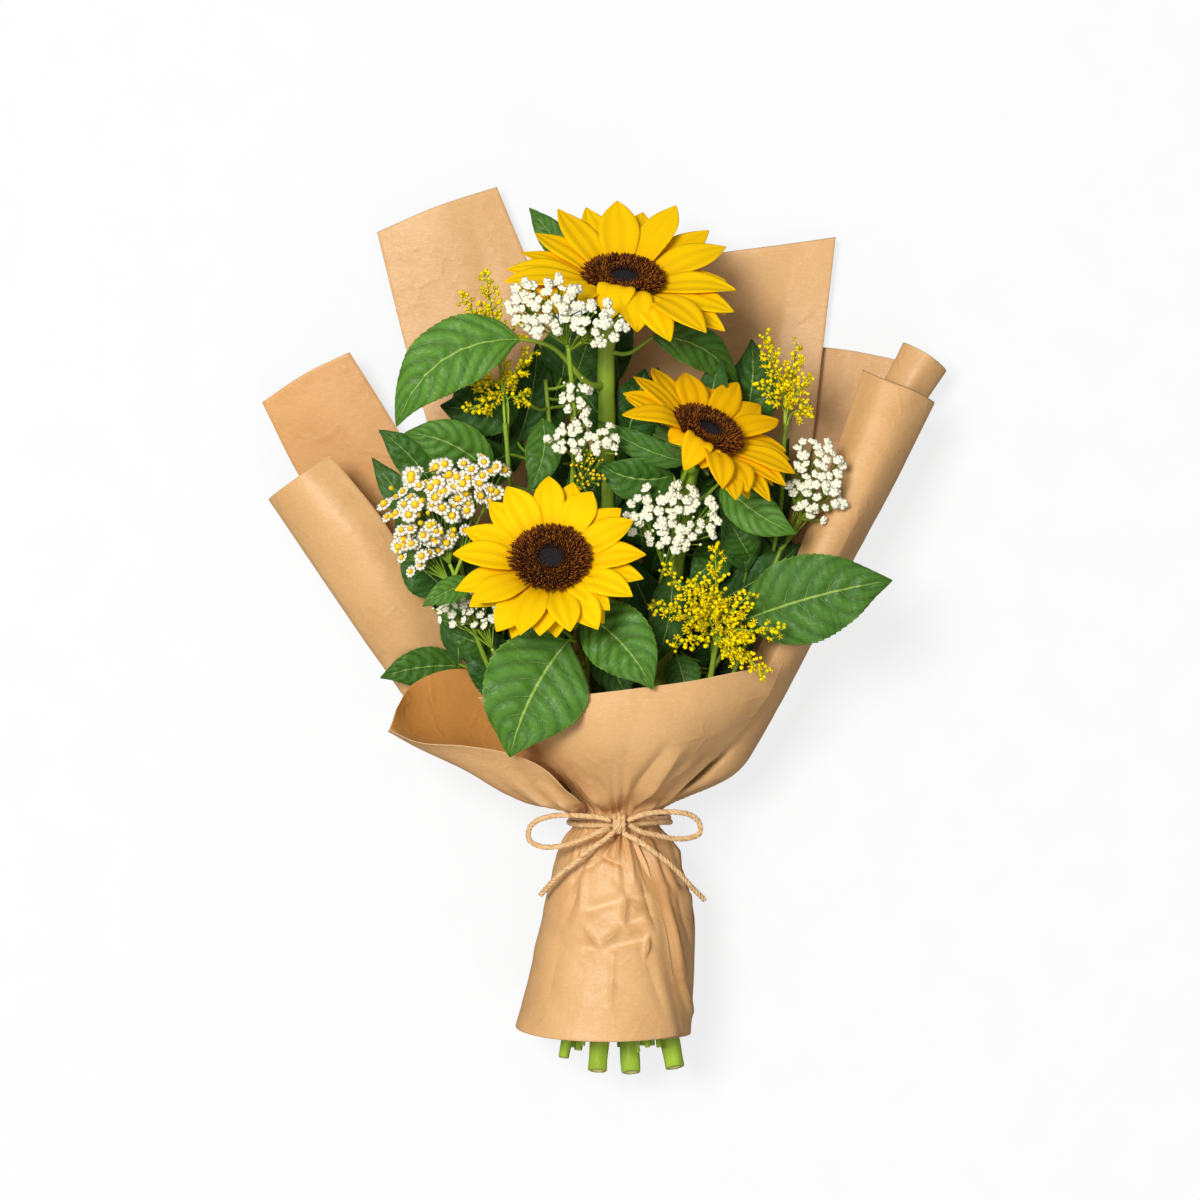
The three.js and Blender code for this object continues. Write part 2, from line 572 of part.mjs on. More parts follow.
const leafyStems = [
  {
    name: 'leafy_stem_left', slot: [3.5, 37.6], end: [0, -255, 34],
    stem: [[-95, 93, 64], [-84, 20, 52], [-47, -54, 40]],
    leaves: [
      { via: [[-97, 76, 66]], base: [-105, 88, 72], tip: [-140, 125, 84], width: 22, bow: -3 },
      { via: [[-92, 45, 60]], base: [-105, 63, 62], tip: [-144, 108, 64], width: 20, bow: 2 },
      {
        via: [[-84, 88, 72]], base: [-71, 98, 84], tip: [-124, 123, 94], width: 30, bow: -6, arch: 8,
        lean: [-0.2, 0],
      },
      {
        via: [[-84, -11, 54]], base: [-95, -21, 60], tip: [-139, -27, 70], width: 21, bow: -2,
        arch: 4,
      },
      { via: [[-81, -5, 60]], base: [-79, 2, 68], tip: [-102, 27, 72], width: 24, arch: 4 },
      { via: [[-65, -23, 56]], base: [-65, -11, 70], tip: [-97, 0, 78], width: 20, arch: 4 },
    ],
  },
  {
    name: 'leafy_stem_middle', slot: [11.8, 38.9], end: [9, -256, 34],
    stem: [[-37, 156, 52], [-31, 94, 50], [-16, -5, 42]],
    leaves: [
      { via: [[-40, 137, 56]], base: [-53, 144, 62], tip: [-102, 140, 66], width: 34, bow: 4 },
      { via: [[-44, 106, 56]], base: [-59, 110, 60], tip: [-95, 95, 64], width: 30 },
      { via: [[-29, 151, 58]], base: [-19, 156, 62], tip: [-8, 187, 62], width: 22 },
      { via: [[-37, 119, 66]], base: [-39, 132, 78], tip: [-48, 87, 88], width: 22, bow: 5, arch: 3 },
      { via: [[-24, 82, 54]], base: [-16, 82, 56], tip: [-8, 48, 56], width: 22 },
      { via: [[-28, 3, 52]], base: [-37, 8, 54], tip: [-62, -14, 56], width: 26, arch: 2 },
      { via: [[-8, -11, 56]], base: [-3, -5, 66], tip: [14, -42, 84], width: 26 },
    ],
  },
  {
    name: 'leafy_stem_right', slot: [18, 42], end: [23, -255, 39],
    stem: [[86, 100, 46], [80, 20, 46], [52, -54, 42]],
    leaves: [
      {
        via: [[76, 5, 80]], base: [84, 7, 106], tip: [177, 32, 116], width: 52, bow: 3, arch: 6,
        steps: 10,
      },
      { via: [[78, 54, 56]], base: [72, 57, 68], tip: [51, 31, 82], width: 24, bow: 3 },
      { via: [[88, 63, 52]], base: [92, 66, 54], tip: [115, 45, 55], width: 26, arch: 3 },
      { via: [[48, -27, 62]], base: [44, -14, 90], tip: [52, -42, 96], width: 22, arch: 2 },
      { via: [[84, 106, 46]], base: [82, 119, 46], tip: [90, 181, 44], width: 32, bow: -4, arch: 4 },
      { via: [[85, 39, 60]], base: [90, 45, 74], tip: [76, 69, 80], width: 22, arch: 4 },
    ],
  },
];

leafyStems.forEach(({ name, slot, end, stem, leaves }) => {
  const line = bend(neckWay(stem, slot, end));
  const main = stalk(line, 1.4, 2, 4, 9);
  addNode(name, fused([main, ...leaves.flatMap((one) => stalkedLeaf(line, one, 1.1))]), leafGreen);
});

// ---------- Paper ----------

// An arc round the wrap at a station: a turn is 0 in front, 90 at the right and 180 underneath, and
// slant draws its sides up towards the neck.
function arc(station, fromTurn, toTurn, layer, slant = 0) {
  const { y, x, z, wide, deep } = wrap[station];
  const out = ply * layer;
  return Array.from({ length: 13 }, (_, i) => {
    const turn = radians(mix(fromTurn, toTurn, i / 12));
    const draw = (slant * (1 - Math.cos(turn))) / 2;
    const [side, front] = [(wide + out) * Math.sin(turn), (deep + out) * Math.cos(turn)];
    return new THREE.Vector3(x + side, y + draw, z + front);
  });
}

// A sheet through rows of points, from its top edge down, given its thickness.
function sheet(rows, across, down) {
  const lines = rows.map((row) => bend(row.map((place) => (place.isVector3 ? place : spot(place)))));
  const net = Array.from({ length: across + 1 }, (_, i) => {
    const column = bend(lines.map((line) => line.getPoint(i / across)));
    return Array.from({ length: down + 1 }, (_unused, j) => column.getPoint(j / down));
  });
  const at = (i, j) => net[Math.min(Math.max(i, 0), across)][Math.min(Math.max(j, 0), down)];
  const moved = (side, i, j) => {
    const rightward = at(i + 1, j).clone().sub(at(i - 1, j));
    const downward = at(i, j + 1).clone().sub(at(i, j - 1));
    const out = rightward.cross(downward).normalize();
    const place = at(i, j).clone().addScaledVector(out, (side * paperThick) / 2);
    place.z = Math.max(place.z, side < 0 ? paperThick : 0);
    return place;
  };
  const face = (side) => net.flatMap((column, i) => column.map((_, j) => moved(side, i, j)));
  const places = [...face(1), ...face(-1)];
  const index = (s, i, j) => (s * (across + 1) + i) * (down + 1) + j;
  const faces = [];
  const square = (a, b, c, d) => faces.push(a, b, c, a, c, d);
  for (let i = 0; i < across; i++) {
    for (let j = 0; j < down; j++) {
      square(index(0, i, j), index(0, i + 1, j), index(0, i + 1, j + 1), index(0, i, j + 1));
      square(index(1, i, j), index(1, i, j + 1), index(1, i + 1, j + 1), index(1, i + 1, j));
    }
    square(index(0, i, 0), index(1, i, 0), index(1, i + 1, 0), index(0, i + 1, 0));
    square(index(0, i, down), index(0, i + 1, down), index(1, i + 1, down), index(1, i, down));
  }
  for (let j = 0; j < down; j++) {
    square(index(0, 0, j), index(0, 0, j + 1), index(1, 0, j + 1), index(1, 0, j));
    square(index(0, across, j), index(1, across, j), index(1, across, j + 1), index(0, across, j + 1));
  }
  return solid(new THREE.BufferGeometry().setFromPoints(places).setIndex(faces));
}

const sheets = [
  {
    name: 'paper_front', across: 10, down: 14, rows: [
      [
        [-79, -40, 98], [-56, -41, 118], [-22, -39, 134], [15, -35, 140], [52, -30, 136],
        [83, -24, 124], [110, -19, 104],
      ],
      [
        [-66, -59, 92], [-44, -61, 112], [-16, -61, 130], [16, -58, 137], [49, -53, 132],
        [77, -47, 118], [100, -40, 100],
      ],
      [
        [-47, -80, 86], [-31, -81, 102], [-10, -82, 118], [16, -80, 124], [43, -76, 119],
        [63, -70, 107], [82, -63, 92],
      ],
      [
        [-20, -97, 73], [-12, -99, 86], [-1, -100, 97], [13, -100, 100], [27, -97, 96], [41, -94, 90],
        [55, -89, 82],
      ],
      arc(0, -84, 44, 2),
      arc(1, -88, 30, 2.1),
      arc(2, -94, 16, 2.5),
      arc(3, -96, 24, 2.5),
      arc(4, -98, 38, 2.8),
      arc(5, -98, 52, 2.8),
      arc(6, -98, 62, 2.8, 10),
    ],
  },
  {
    name: 'paper_left_flap', across: 6, down: 8, rows: [
      [[-134, -60, 100], [-134, -61, 92], [-132, -56, 84], [-129, -47, 76]],
      [[-115, -68, 118], [-116, -71, 98], [-119, -59, 72], [-119, -32, 56]],
      [[-87, -70, 128], [-86, -85, 104], [-92, -65, 58], [-98, -23, 44]],
      [[-62, -74, 126], [-58, -100, 98], [-65, -79, 48], [-75, -24, 34]],
      [[-39, -83, 118], [-31, -107, 88], [-40, -88, 38], [-47, -35, 26]],
      [[-19, -100, 107], [-21, -111, 80], [-25, -103, 44], [-29, -79, 24]],
      arc(0, -45, -112, 3.4),
      arc(1, -45, -108, 3.4),
    ],
  },
  {
    name: 'paper_back_right', across: 9, down: 13, rows: [
      [[21, 229, 9], [52, 232, 10], [83, 236, 11], [114, 240, 11], [142, 244, 9]],
      [[-13, 177, 2], [24, 177, 2], [61, 176, 3], [98, 174, 4], [134, 174, 7]],
      [[-47, 113, 0], [-3, 110, 0], [40, 105, 0], [83, 103, 2], [125, 100, 6]],
      [[-62, 26, 0], [-22, 23, 0], [21, 20, 0], [65, 20, 2], [106, 20, 6]],
      [[-40, -65, 13], [-24, -60, 5], [9, -60, 3], [46, -60, 6], [74, -60, 11]],
      arc(0, 232, 140, 1),
      arc(1, 244, 130, 1.1),
      arc(2, 262, 114, 1.4),
      arc(3, 268, 106, 1.6),
      arc(4, 268, 104, 1.6),
      arc(5, 268, 104, 1.6),
      arc(6, 268, 104, 1.6),
    ],
  },
  {
    name: 'paper_right_cone', across: 7, down: 12, rows: [
      [[159, 162, 58], [173, 156, 74], [189, 150, 74], [203, 142, 56], [200, 142, 44]],
      [[139, 103, 66], [151, 100, 84], [165, 96, 84], [179, 94, 58], [177, 94, 38]],
      [[117, 45, 76], [127, 43, 95], [140, 41, 93], [150, 40, 62], [149, 39, 34]],
      [[94, -11, 80], [105, -14, 94], [114, -16, 88], [121, -18, 62], [119, -18, 28]],
      [[68, -59, 76], [80, -65, 84], [88, -67, 76], [94, -68, 56], [88, -69, 26]],
      [[52, -88, 66], [62, -90, 74], [73, -89, 68], [81, -86, 54], [73, -87, 30]],
      arc(0, 38, 134, 0),
      arc(1, 24, 132, 0),
      arc(2, 2, 122, 0),
      arc(3, 4, 118, 0),
      arc(4, 16, 116, 0),
      arc(5, 30, 116, 0),
      arc(6, 40, 116, 0),
    ],
  },
  {
    name: 'paper_back_left', across: 4, down: 7, rows: [
      [[-141, 247, 10], [-104, 263, 16], [-67, 275, 12]],
      [[-122, 171, 9], [-81, 185, 11], [-37, 199, 9]],
      [[-105, 113, 7], [-62, 119, 7], [-16, 119, 7]],
      [[-77, 20, 7], [-40, 20, 6], [-3, 20, 6]],
      [[-29, -59, 16], [-18, -60, 14], [-5, -60, 13]],
      arc(0, -140, -178, -0.2),
      arc(1, -140, -178, -0.2),
    ],
  },
  {
    name: 'paper_back_roll', across: 9, down: 7, rows: [
      [
        [123, 177, 1], [151, 174, 1], [185, 167, 4], [210, 161, 20], [200, 171, 38], [184, 179, 26],
        [189, 174, 14],
      ],
      [
        [117, 113, 1], [139, 113, 1], [160, 111, 3], [176, 110, 17], [167, 114, 32], [155, 119, 24],
        [158, 116, 14],
      ],
      [
        [102, 45, 1], [117, 45, 1], [132, 45, 3], [144, 44, 13], [139, 46, 24], [129, 48, 19],
        [131, 46, 11],
      ],
      [
        [78, -17, 1], [88, -17, 1], [98, -17, 2], [105, -17, 3], [110, -17, 5], [114, -17, 8],
        [116, -17, 12],
      ],
      [
        [52, -63, 1], [57, -64, 1], [63, -65, 2], [67, -66, 2], [71, -66, 3], [76, -67, 4],
        [80, -68, 6],
      ],
      arc(0, 168, 138, 2.4),
      arc(1, 166, 138, 2.3),
    ],
  },
  {
    name: 'paper_left_panel', across: 3, down: 7, rows: [
      [[-212, 142, 16], [-185, 160, 24], [-158, 173, 24]],
      [[-187, 93, 9], [-158, 113, 17], [-130, 128, 19]],
      [[-153, 45, 4], [-127, 66, 8], [-108, 88, 14]],
      [[-111, -17, 3], [-97, -8, 4], [-84, 5, 5]],
      [[-47, -85, 10], [-40, -79, 8], [-34, -73, 6]],
      arc(0, 190, 176, 2.4),
      arc(1, 190, 176, 2.4),
    ],
  },
  {
    name: 'paper_left_roll', across: 6, down: 7, rows: [
      [[-195, 87, 14], [-208, 82, 30], [-190, 96, 52], [-170, 110, 46]],
      [[-158, 29, 12], [-173, 31, 34], [-155, 52, 58], [-137, 69, 52]],
      [[-127, -14, 12], [-140, -17, 30], [-126, 5, 50], [-110, 23, 46]],
      [[-96, -54, 12], [-111, -55, 22], [-99, -35, 32], [-84, -22, 28]],
      [[-53, -94, 11], [-63, -88, 12], [-59, -71, 14], [-53, -59, 13]],
      arc(0, 195, 216, 3),
      arc(1, 196, 214, 3),
    ],
  },
];

sheets.forEach(({ name, rows, across, down }) => addNode(name, sheet(rows, across, down), paper));

// ---------- Twine ----------

// The band: two turns side by side round the gathered paper.
function twineBand(sectors) {
  const { x, z, wide, deep } = wrap[0];
  const inner = ply * 3.6 + paperThick / 2 + twineClear;
  const profile = [[0, -3.2], [2.6, -2.9], [3.3, -1.7], [2.3, 0], [3.3, 1.7], [2.6, 2.9], [0, 3.2]];
  const turns = Array.from({ length: sectors }, (_, k) => (k / sectors) * Math.PI * 2);
  const places = turns.flatMap((turn) =>
    profile.map(([out, along]) => {
      const [side, front] = [wide + inner + out, deep + inner + out];
      return new THREE.Vector3(x + side * Math.sin(turn), neckY + along, z + front * Math.cos(turn));
    }),
  );
  const index = (k, m) => (k % sectors) * profile.length + (m % profile.length);
  const faces = [];
  for (let k = 0; k < sectors; k++) {
    for (let m = 0; m < profile.length; m++) {
      const [a, b, c, d] = [index(k, m), index(k + 1, m), index(k + 1, m + 1), index(k, m + 1)];
      faces.push(a, b, c, a, c, d);
    }
  }
  return solid(new THREE.BufferGeometry().setFromPoints(places).setIndex(faces));
}

// The knot: a short fat lump over the band, with a waist where the last turn pulls it in.
function twineKnot() {
  const rings = [[-6, 0], [-5.4, 0.7], [-2.4, 1], [0, 0.86], [2.4, 1], [5.4, 0.7], [6, 0]];
  const places = rings.map(([along, share]) => {
    if (share === 0) return [knot.clone().add(new THREE.Vector3(0, along, 0))];
    return Array.from({ length: 8 }, (_, k) => {
      const turn = (k / 8) * Math.PI * 2;
      const [side, front] = [4.6 * share * Math.cos(turn), 3 * share * Math.sin(turn)];
      return knot.clone().add(new THREE.Vector3(side, along, front));
    });
  });
  return solid(loft(places));
}

// A free length of twine: an extruded round section, as the bow's loops and tails are.
function twineCord(route, steps) {
  const section = new THREE.Shape().absarc(0, 0, twineRadius, 0, Math.PI * 2);
  const sweep = { extrudePath: bend(route), steps, curveSegments: 4, bevelEnabled: false };
  return solid(new THREE.ExtrudeGeometry(section, sweep));
}

const knot = new THREE.Vector3(8.5, -118.5, 85.8);
const bow = {
  twine_loop_left: {
    steps: 15,
    route: [
      [3, -116, 86], [-5, -114, 87], [-17, -113, 86], [-31, -113, 83], [-42, -116, 79],
      [-47, -121, 75], [-47, -128, 74],
      [-40, -132, 77], [-29, -132, 81], [-18, -129, 86], [-6, -124, 89], [2, -120, 90],
    ],
  },
  twine_loop_right: {
    steps: 15,
    route: [
      [14, -116, 86], [21, -113, 87], [32, -111, 85], [44, -111, 82], [53, -113, 78], [58, -118, 74],
      [58, -124, 73],
      [51, -127, 75], [40, -127, 79], [31, -125, 84], [22, -123, 88], [15, -119, 90],
    ],
  },
  twine_tail_left: {
    steps: 9,
    route: [
      [5, -123, 87], [-2, -129, 89], [-11, -135, 90], [-19, -142, 88], [-27, -148, 83],
      [-34, -155, 76], [-40, -162, 69],
    ],
  },
  twine_tail_right: {
    steps: 10,
    route: [
      [11, -124, 87], [19, -128, 89], [28, -134, 89], [36, -140, 87], [44, -147, 81], [52, -156, 73],
      [61, -165, 64],
    ],
  },
};

addNode('twine_band', twineBand(22), twine);
addNode('twine_knot', twineKnot(), twine);
Object.entries(bow).forEach(([name, { route, steps }]) => {
  addNode(name, twineCord(route.map(spot), steps), twine);
});

export default bunch;
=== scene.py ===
import math

import bpy
import numpy as np
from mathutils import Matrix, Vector


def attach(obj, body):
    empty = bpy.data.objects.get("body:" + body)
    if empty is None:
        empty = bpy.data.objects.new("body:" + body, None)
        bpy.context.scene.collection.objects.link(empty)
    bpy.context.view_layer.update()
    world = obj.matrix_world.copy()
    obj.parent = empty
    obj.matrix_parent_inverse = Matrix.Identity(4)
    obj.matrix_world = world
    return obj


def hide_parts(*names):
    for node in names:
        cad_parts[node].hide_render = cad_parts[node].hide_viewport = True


# A wrapped bunch of sunflowers lying on its back: z up, y from the cut stems to the blooms. The scene is in
# metres; places and sizes in the dictionaries of the pieces are in mm, and angles in degrees.

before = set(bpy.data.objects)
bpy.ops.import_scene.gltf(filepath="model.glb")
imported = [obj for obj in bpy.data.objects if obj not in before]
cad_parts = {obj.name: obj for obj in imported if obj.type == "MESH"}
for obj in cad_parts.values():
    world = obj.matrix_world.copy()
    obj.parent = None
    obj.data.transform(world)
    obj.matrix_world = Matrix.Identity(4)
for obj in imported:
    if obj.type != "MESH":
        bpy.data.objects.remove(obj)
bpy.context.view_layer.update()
scene = bpy.context.scene
mm = 0.001


# Camera, looking straight down at the bunch

camera = dict(place=(-0.0034, 0.020, 2.568), lens=120.0, sensor=36.0, farthest=20.0)
midHeight = 0.100  # places are read in a plane this high and slid along the sight line to their own height


def makeCamera():
    data = bpy.data.cameras.new("photoCamera")
    data.lens = camera["lens"]
    data.sensor_width = camera["sensor"]
    data.clip_end = camera["farthest"]
    eye = bpy.data.objects.new("photoCamera", data)
    eye.location = camera["place"]
    scene.collection.objects.link(eye)
    scene.camera = eye


makeCamera()


def spot(place):
    # A place in mm as it lies in the scene, in metres.
    x, y, z = np.asarray(place, float) * mm
    eyeX, eyeY, eyeZ = camera["place"]
    shrink = (eyeZ - z) / (eyeZ - midHeight)
    return np.array((eyeX + (x - eyeX) * shrink, eyeY + (y - eyeY) * shrink, z))


def spots(places):
    return np.array([spot(p) for p in places])


# Curves

up = np.array((0.0, 0.0, 1.0))
goldenAngle = math.pi * (3 - math.sqrt(5))
fullTurn = 6.3  # a little over the round, for draws of a turn


def unit(v):
    v = np.asarray(v, float)
    return v / np.maximum(np.linalg.norm(v, axis=-1, keepdims=True), 1e-12)


def mix(a, b, t):
    return a + (b - a) * t


def smooth(low, high, x):
    t = np.clip((np.asarray(x, float) - low) / (high - low), 0, 1)
    return t * t * (3 - 2 * t)


def gap(here, there):
    # The root of a distance: a curve that counts by it doesn't overshoot where points lie close.
    return np.maximum(np.linalg.norm(there - here, axis=-1, keepdims=True), 1e-7) ** 0.5


def bend(points, t):
    # Places on one smooth curve through the points, or on several at once, at the shares t.
    p = np.asarray(points, float)
    p = np.concatenate([[2 * p[0] - p[1]], p, [2 * p[-1] - p[-2]]])
    t = np.clip(np.asarray(t, float), 0, 1) * (len(p) - 3)
    k = np.minimum(t.astype(int), len(p) - 4)
    f = (t - k).reshape((-1,) + (1,) * (p.ndim - 1))
    p0, p1, p2, p3 = p[k], p[k + 1], p[k + 2], p[k + 3]
    b = gap(p0, p1)
    c = b + gap(p1, p2)
    d = c + gap(p2, p3)
    at = b + (c - b) * f
    a1 = (b - at) / b * p0 + at / b * p1
    a2 = (c - at) / (c - b) * p1 + (at - b) / (c - b) * p2
    a3 = (d - at) / (d - c) * p2 + (at - c) / (d - c) * p3
    b1 = (c - at) / c * a1 + at / c * a2
    b2 = (d - at) / (d - b) * a2 + (at - b) / (d - b) * a3
    return (c - at) / (c - b) * b1 + (at - b) / (c - b) * b2


def runAlong(path):
    # How far along the path each of its places lies.
    return np.concatenate([[0], np.cumsum(np.linalg.norm(np.diff(path, axis=0), axis=1))])


def even(points, step):
    # The same curve with its places a step apart.
    fine = bend(points, np.linspace(0, 1, 40 * len(points)))
    run = runAlong(fine)
    count = max(3, int(round(run[-1] / step)) + 1)
    way = np.linspace(0, run[-1], count)
    return np.stack([np.interp(way, run, fine[:, i]) for i in range(3)], axis=1)


def stops(count, edge=0.01):
    # Shares from 0 to 1 with one more close to each end, so that a rim stays crisp.
    return np.concatenate([[0, edge], np.linspace(0, 1, count + 1)[1:-1], [1 - edge, 1]])


def carried(path):
    # Two ways across a path, carried along it without twisting.
    along = unit(np.gradient(path, axis=0))
    side = unit(np.cross(along[0], up if abs(along[0][2]) < 0.9 else (1.0, 0.0, 0.0)))
    ways = []
    for way in along:
        side = unit(side - np.dot(side, way) * way)
        ways.append(side)
    ways = np.array(ways)
    return ways, np.cross(along, ways)


def nearestOn(path, place):
    return path[np.argmin(np.linalg.norm(path - place, axis=1))]


# Meshes

class Heap:
    # Gathers many small meshes into one piece; shares are numbers that its materials read.
    def __init__(self):
        self.places, self.faces, self.shares, self.count = [], [], {}, 0

    def add(self, places, faces, slot=0, **shares):
        places = np.asarray(places, float).reshape(-1, 3)
        for name in {**self.shares, **shares}:
            values = self.shares.setdefault(name, [np.zeros(self.count)])
            values.append(np.broadcast_to(np.asarray(shares.get(name, 0.0), float).ravel(), (len(places),)))
        self.places.append(places)
        self.faces += [(np.asarray(f, int) + self.count, slot) for f in faces]
        self.count += len(places)

    def scatter(self, one, centres, facing, size, spin, slot=0, **shares):
        # Copies of one small shape, each turned to its own facing.
        centres, facing = np.asarray(centres, float), unit(facing)
        n, m = len(centres), len(one["places"])
        helper = np.where(np.abs(facing[:, 2:]) < 0.9, [[0.0, 0.0, 1.0]], [[1.0, 0.0, 0.0]])
        side = unit(np.cross(helper, facing))
        other = np.cross(facing, side)
        c, s = np.cos(spin)[:, None], np.sin(spin)[:, None]
        ways = np.stack([c * side + s * other, c * other - s * side, facing], axis=1)
        size = np.broadcast_to(np.asarray(size, float), (n,))
        places = centres[:, None] + size[:, None, None] * np.einsum("pk,nkj->npj", one["places"], ways)
        shift = (np.arange(n) * m)[:, None, None]
        faces = [(f[None] + shift).reshape(-1, f.shape[1]) for f in one["faces"]]
        every = {key: np.tile(value, n) for key, value in one["shares"].items()}
        every.update({key: np.repeat(np.broadcast_to(value, (n,)), m) for key, value in shares.items()})
        self.add(places, faces, slot, **every)

    def build(self, name, materials):
        mesh = bpy.data.meshes.new(name)
        places = np.concatenate(self.places)
        corners = np.concatenate([f.ravel() for f, _ in self.faces])
        sizes = np.concatenate([np.full(len(f), f.shape[1]) for f, _ in self.faces])
        mesh.vertices.add(len(places))
        mesh.vertices.foreach_set("co", places.ravel())
        mesh.loops.add(len(corners))
        mesh.loops.foreach_set("vertex_index", corners)
        mesh.polygons.add(len(sizes))
        mesh.polygons.foreach_set("loop_start", np.cumsum(sizes) - sizes)
        slots = np.concatenate([np.full(len(f), slot) for f, slot in self.faces])
        mesh.polygons.foreach_set("material_index", slots)
        mesh.update(calc_edges=True)
        for key, values in self.shares.items():
            layer = mesh.attributes.new(key, "FLOAT", "POINT")
            layer.data.foreach_set("value", np.concatenate(values).astype(np.float32))
        for material in materials:
            mesh.materials.append(material)
        mesh.validate()
        mesh.polygons.foreach_set("use_smooth", np.ones(len(mesh.polygons), bool))
        piece = bpy.data.objects.new(name, mesh)
        scene.collection.objects.link(piece)
        return piece


def settle(piece, finish, *nodes):
    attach(piece, "root")
    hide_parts(*nodes)
    return piece


def strip(rings, sides):
    # Faces of a tube of rings, without its ends.
    i, k = np.meshgrid(np.arange(rings - 1), np.arange(sides), indexing="ij")
    a, b = (i * sides + k).ravel(), (i * sides + (k + 1) % sides).ravel()
    return np.stack([a, b, b + sides, a + sides], axis=1)


def fan(middle, first, sides, back=False):
    # Triangles from one place to the ring that starts at first.
    near, far = first + np.arange(sides), first + (np.arange(sides) + 1) % sides
    return np.stack([np.full(sides, middle), *((far, near) if back else (near, far))], axis=1)


def closed(rings, start, end):
    # Rings joined to one body, with a place that closes it at each end.
    n, sides = rings.shape[:2]
    places = np.concatenate([rings.reshape(-1, 3), [start, end]])
    caps = [fan(n * sides, 0, sides, True), fan(n * sides + 1, (n - 1) * sides, sides)]
    return places, [strip(n, sides), *caps]


def roundRings(radii, heights, sides):
    # Rings round the z axis, one for each radius and height.
    turn = np.arange(sides) / sides * 2 * math.pi
    z = np.repeat(np.asarray(heights, float)[:, None], sides, 1)
    return np.stack([np.outer(radii, np.cos(turn)), np.outer(radii, np.sin(turn)), z], axis=-1)


def addTube(heap, path, radii, sides=6, slot=0, **shares):
    # A round stalk; both ends close in a low point.
    path = np.asarray(path, float)
    side, other = carried(path)
    turn = np.arange(sides) / sides * 2 * math.pi
    radii = np.broadcast_to(np.asarray(radii, float), (len(path),))
    ring = np.cos(turn)[None, :, None] * side[:, None] + np.sin(turn)[None, :, None] * other[:, None]
    along = unit(np.gradient(path, axis=0))
    start, end = path[0] - radii[0] * 0.5 * along[0], path[-1] + radii[-1] * 0.5 * along[-1]
    places, faces = closed(path[:, None] + radii[:, None, None] * ring, start, end)
    grown = {"along": np.append(np.repeat(np.linspace(0, 1, len(path)), sides), [0, 1])}
    grown["across"] = np.append(np.tile(turn / math.pi - 1, len(path)), [0, 0])
    grown.update(shares)
    heap.add(places, faces, slot, **grown)


def addSkin(heap, net, thick, **shares):
    # A closed thin body round a net of places: two faces that meet at the rim.
    rows, cols = net.shape[:2]
    out = unit(np.cross(np.gradient(net, axis=1), np.gradient(net, axis=0)))
    inner = np.zeros((rows, cols), bool)
    inner[1:-1, 1:-1] = True
    body = np.where(inner, thick / 2, 0)[..., None]
    ids = np.arange(rows * cols).reshape(rows, cols)
    lower = ids.copy()
    lower[inner] = rows * cols + np.arange(inner.sum())
    quads = [(ids[:-1, :-1], ids[1:, :-1], ids[1:, 1:], ids[:-1, 1:])]
    quads.append((lower[:-1, :-1], lower[:-1, 1:], lower[1:, 1:], lower[1:, :-1]))
    faces = [np.stack([corner.ravel() for corner in four], axis=1) for four in quads]
    every = {}
    for key, value in shares.items():
        value = np.broadcast_to(np.asarray(value, float), (rows, cols))
        every[key] = np.concatenate([value.ravel(), value[inner]])
    every["under"] = np.concatenate([np.zeros(rows * cols), np.ones(inner.sum())])
    places = np.concatenate([(net + out * body).reshape(-1, 3), (net - out * body)[inner]])
    heap.add(places, faces, **every)


def lobe(length, width, start=0.0, lift=0.0, rim=8, puff=0.09):
    # A small rounded flap from the middle outwards along x, closed above and below.
    turn = np.arange(rim) / rim * 2 * math.pi
    x = start + length * (0.5 - 0.5 * np.cos(turn))
    y = width / 2 * np.sin(turn) * (0.75 + 0.25 * (x - start) / length)
    z = lift * ((x - start) / length) ** 1.5
    middle = [[start + length * 0.55, 0, lift * 0.45 + side * puff * width] for side in (1, -1)]
    faces = [fan(rim, 0, rim), fan(rim + 1, 0, rim, True)]
    tip = np.append((x - start) / length, [0.5, 0.5])
    return np.concatenate([np.stack([x, y, z], axis=1), middle]), faces, tip


def dome(radius, height, sides=8, rings=3, sink=0.0):
    # A low round button, closed underneath.
    lift = np.linspace(0, 1, rings + 1)[:-1] * math.pi / 2
    net = roundRings(np.cos(lift) * radius, np.sin(lift) * height + sink, sides)
    places, faces = closed(net, (0, 0, sink - 0.5 * radius), (0, 0, height + sink))
    return places, faces, np.append(np.repeat(lift / (math.pi / 2), sides), [0, 1])


def spike(radius, length, bendOver, sides=5):
    # A small tube floret: a thin neck that swells and ends in a point.
    z = np.array([0, 0.35, 0.7, 0.9]) * length
    net = roundRings(np.array([0.7, 0.85, 1.0, 0.6]) * radius, z, sides)
    net[..., 0] += (bendOver * (z / length) ** 2)[:, None]
    places, faces = closed(net, (0, 0, -0.3), (bendOver, 0, length))
    return places, faces, np.append(np.repeat(z / length, sides), [0, 1])


def shape(*parts):
    # Joins parts of (places, faces, tip, mark) as one small shape for scattering.
    places, faces, tips, marks, count = [], [], [], [], 0
    for at, sides, tip, mark in parts:
        places.append(at)
        faces += [f + count for f in sides]
        tips.append(tip)
        marks.append(np.full(len(at), float(mark)))
        count += len(at)
    shares = dict(tip=np.concatenate(tips), mark=np.concatenate(marks))
    return dict(places=np.concatenate(places), faces=faces, shares=shares)


def turned(part, angle, mark):
    at, sides, tip = part
    c, s = math.cos(angle), math.sin(angle)
    return at @ np.array([[c, s, 0], [-s, c, 0], [0, 0, 1]]), sides, tip, mark


# Materials

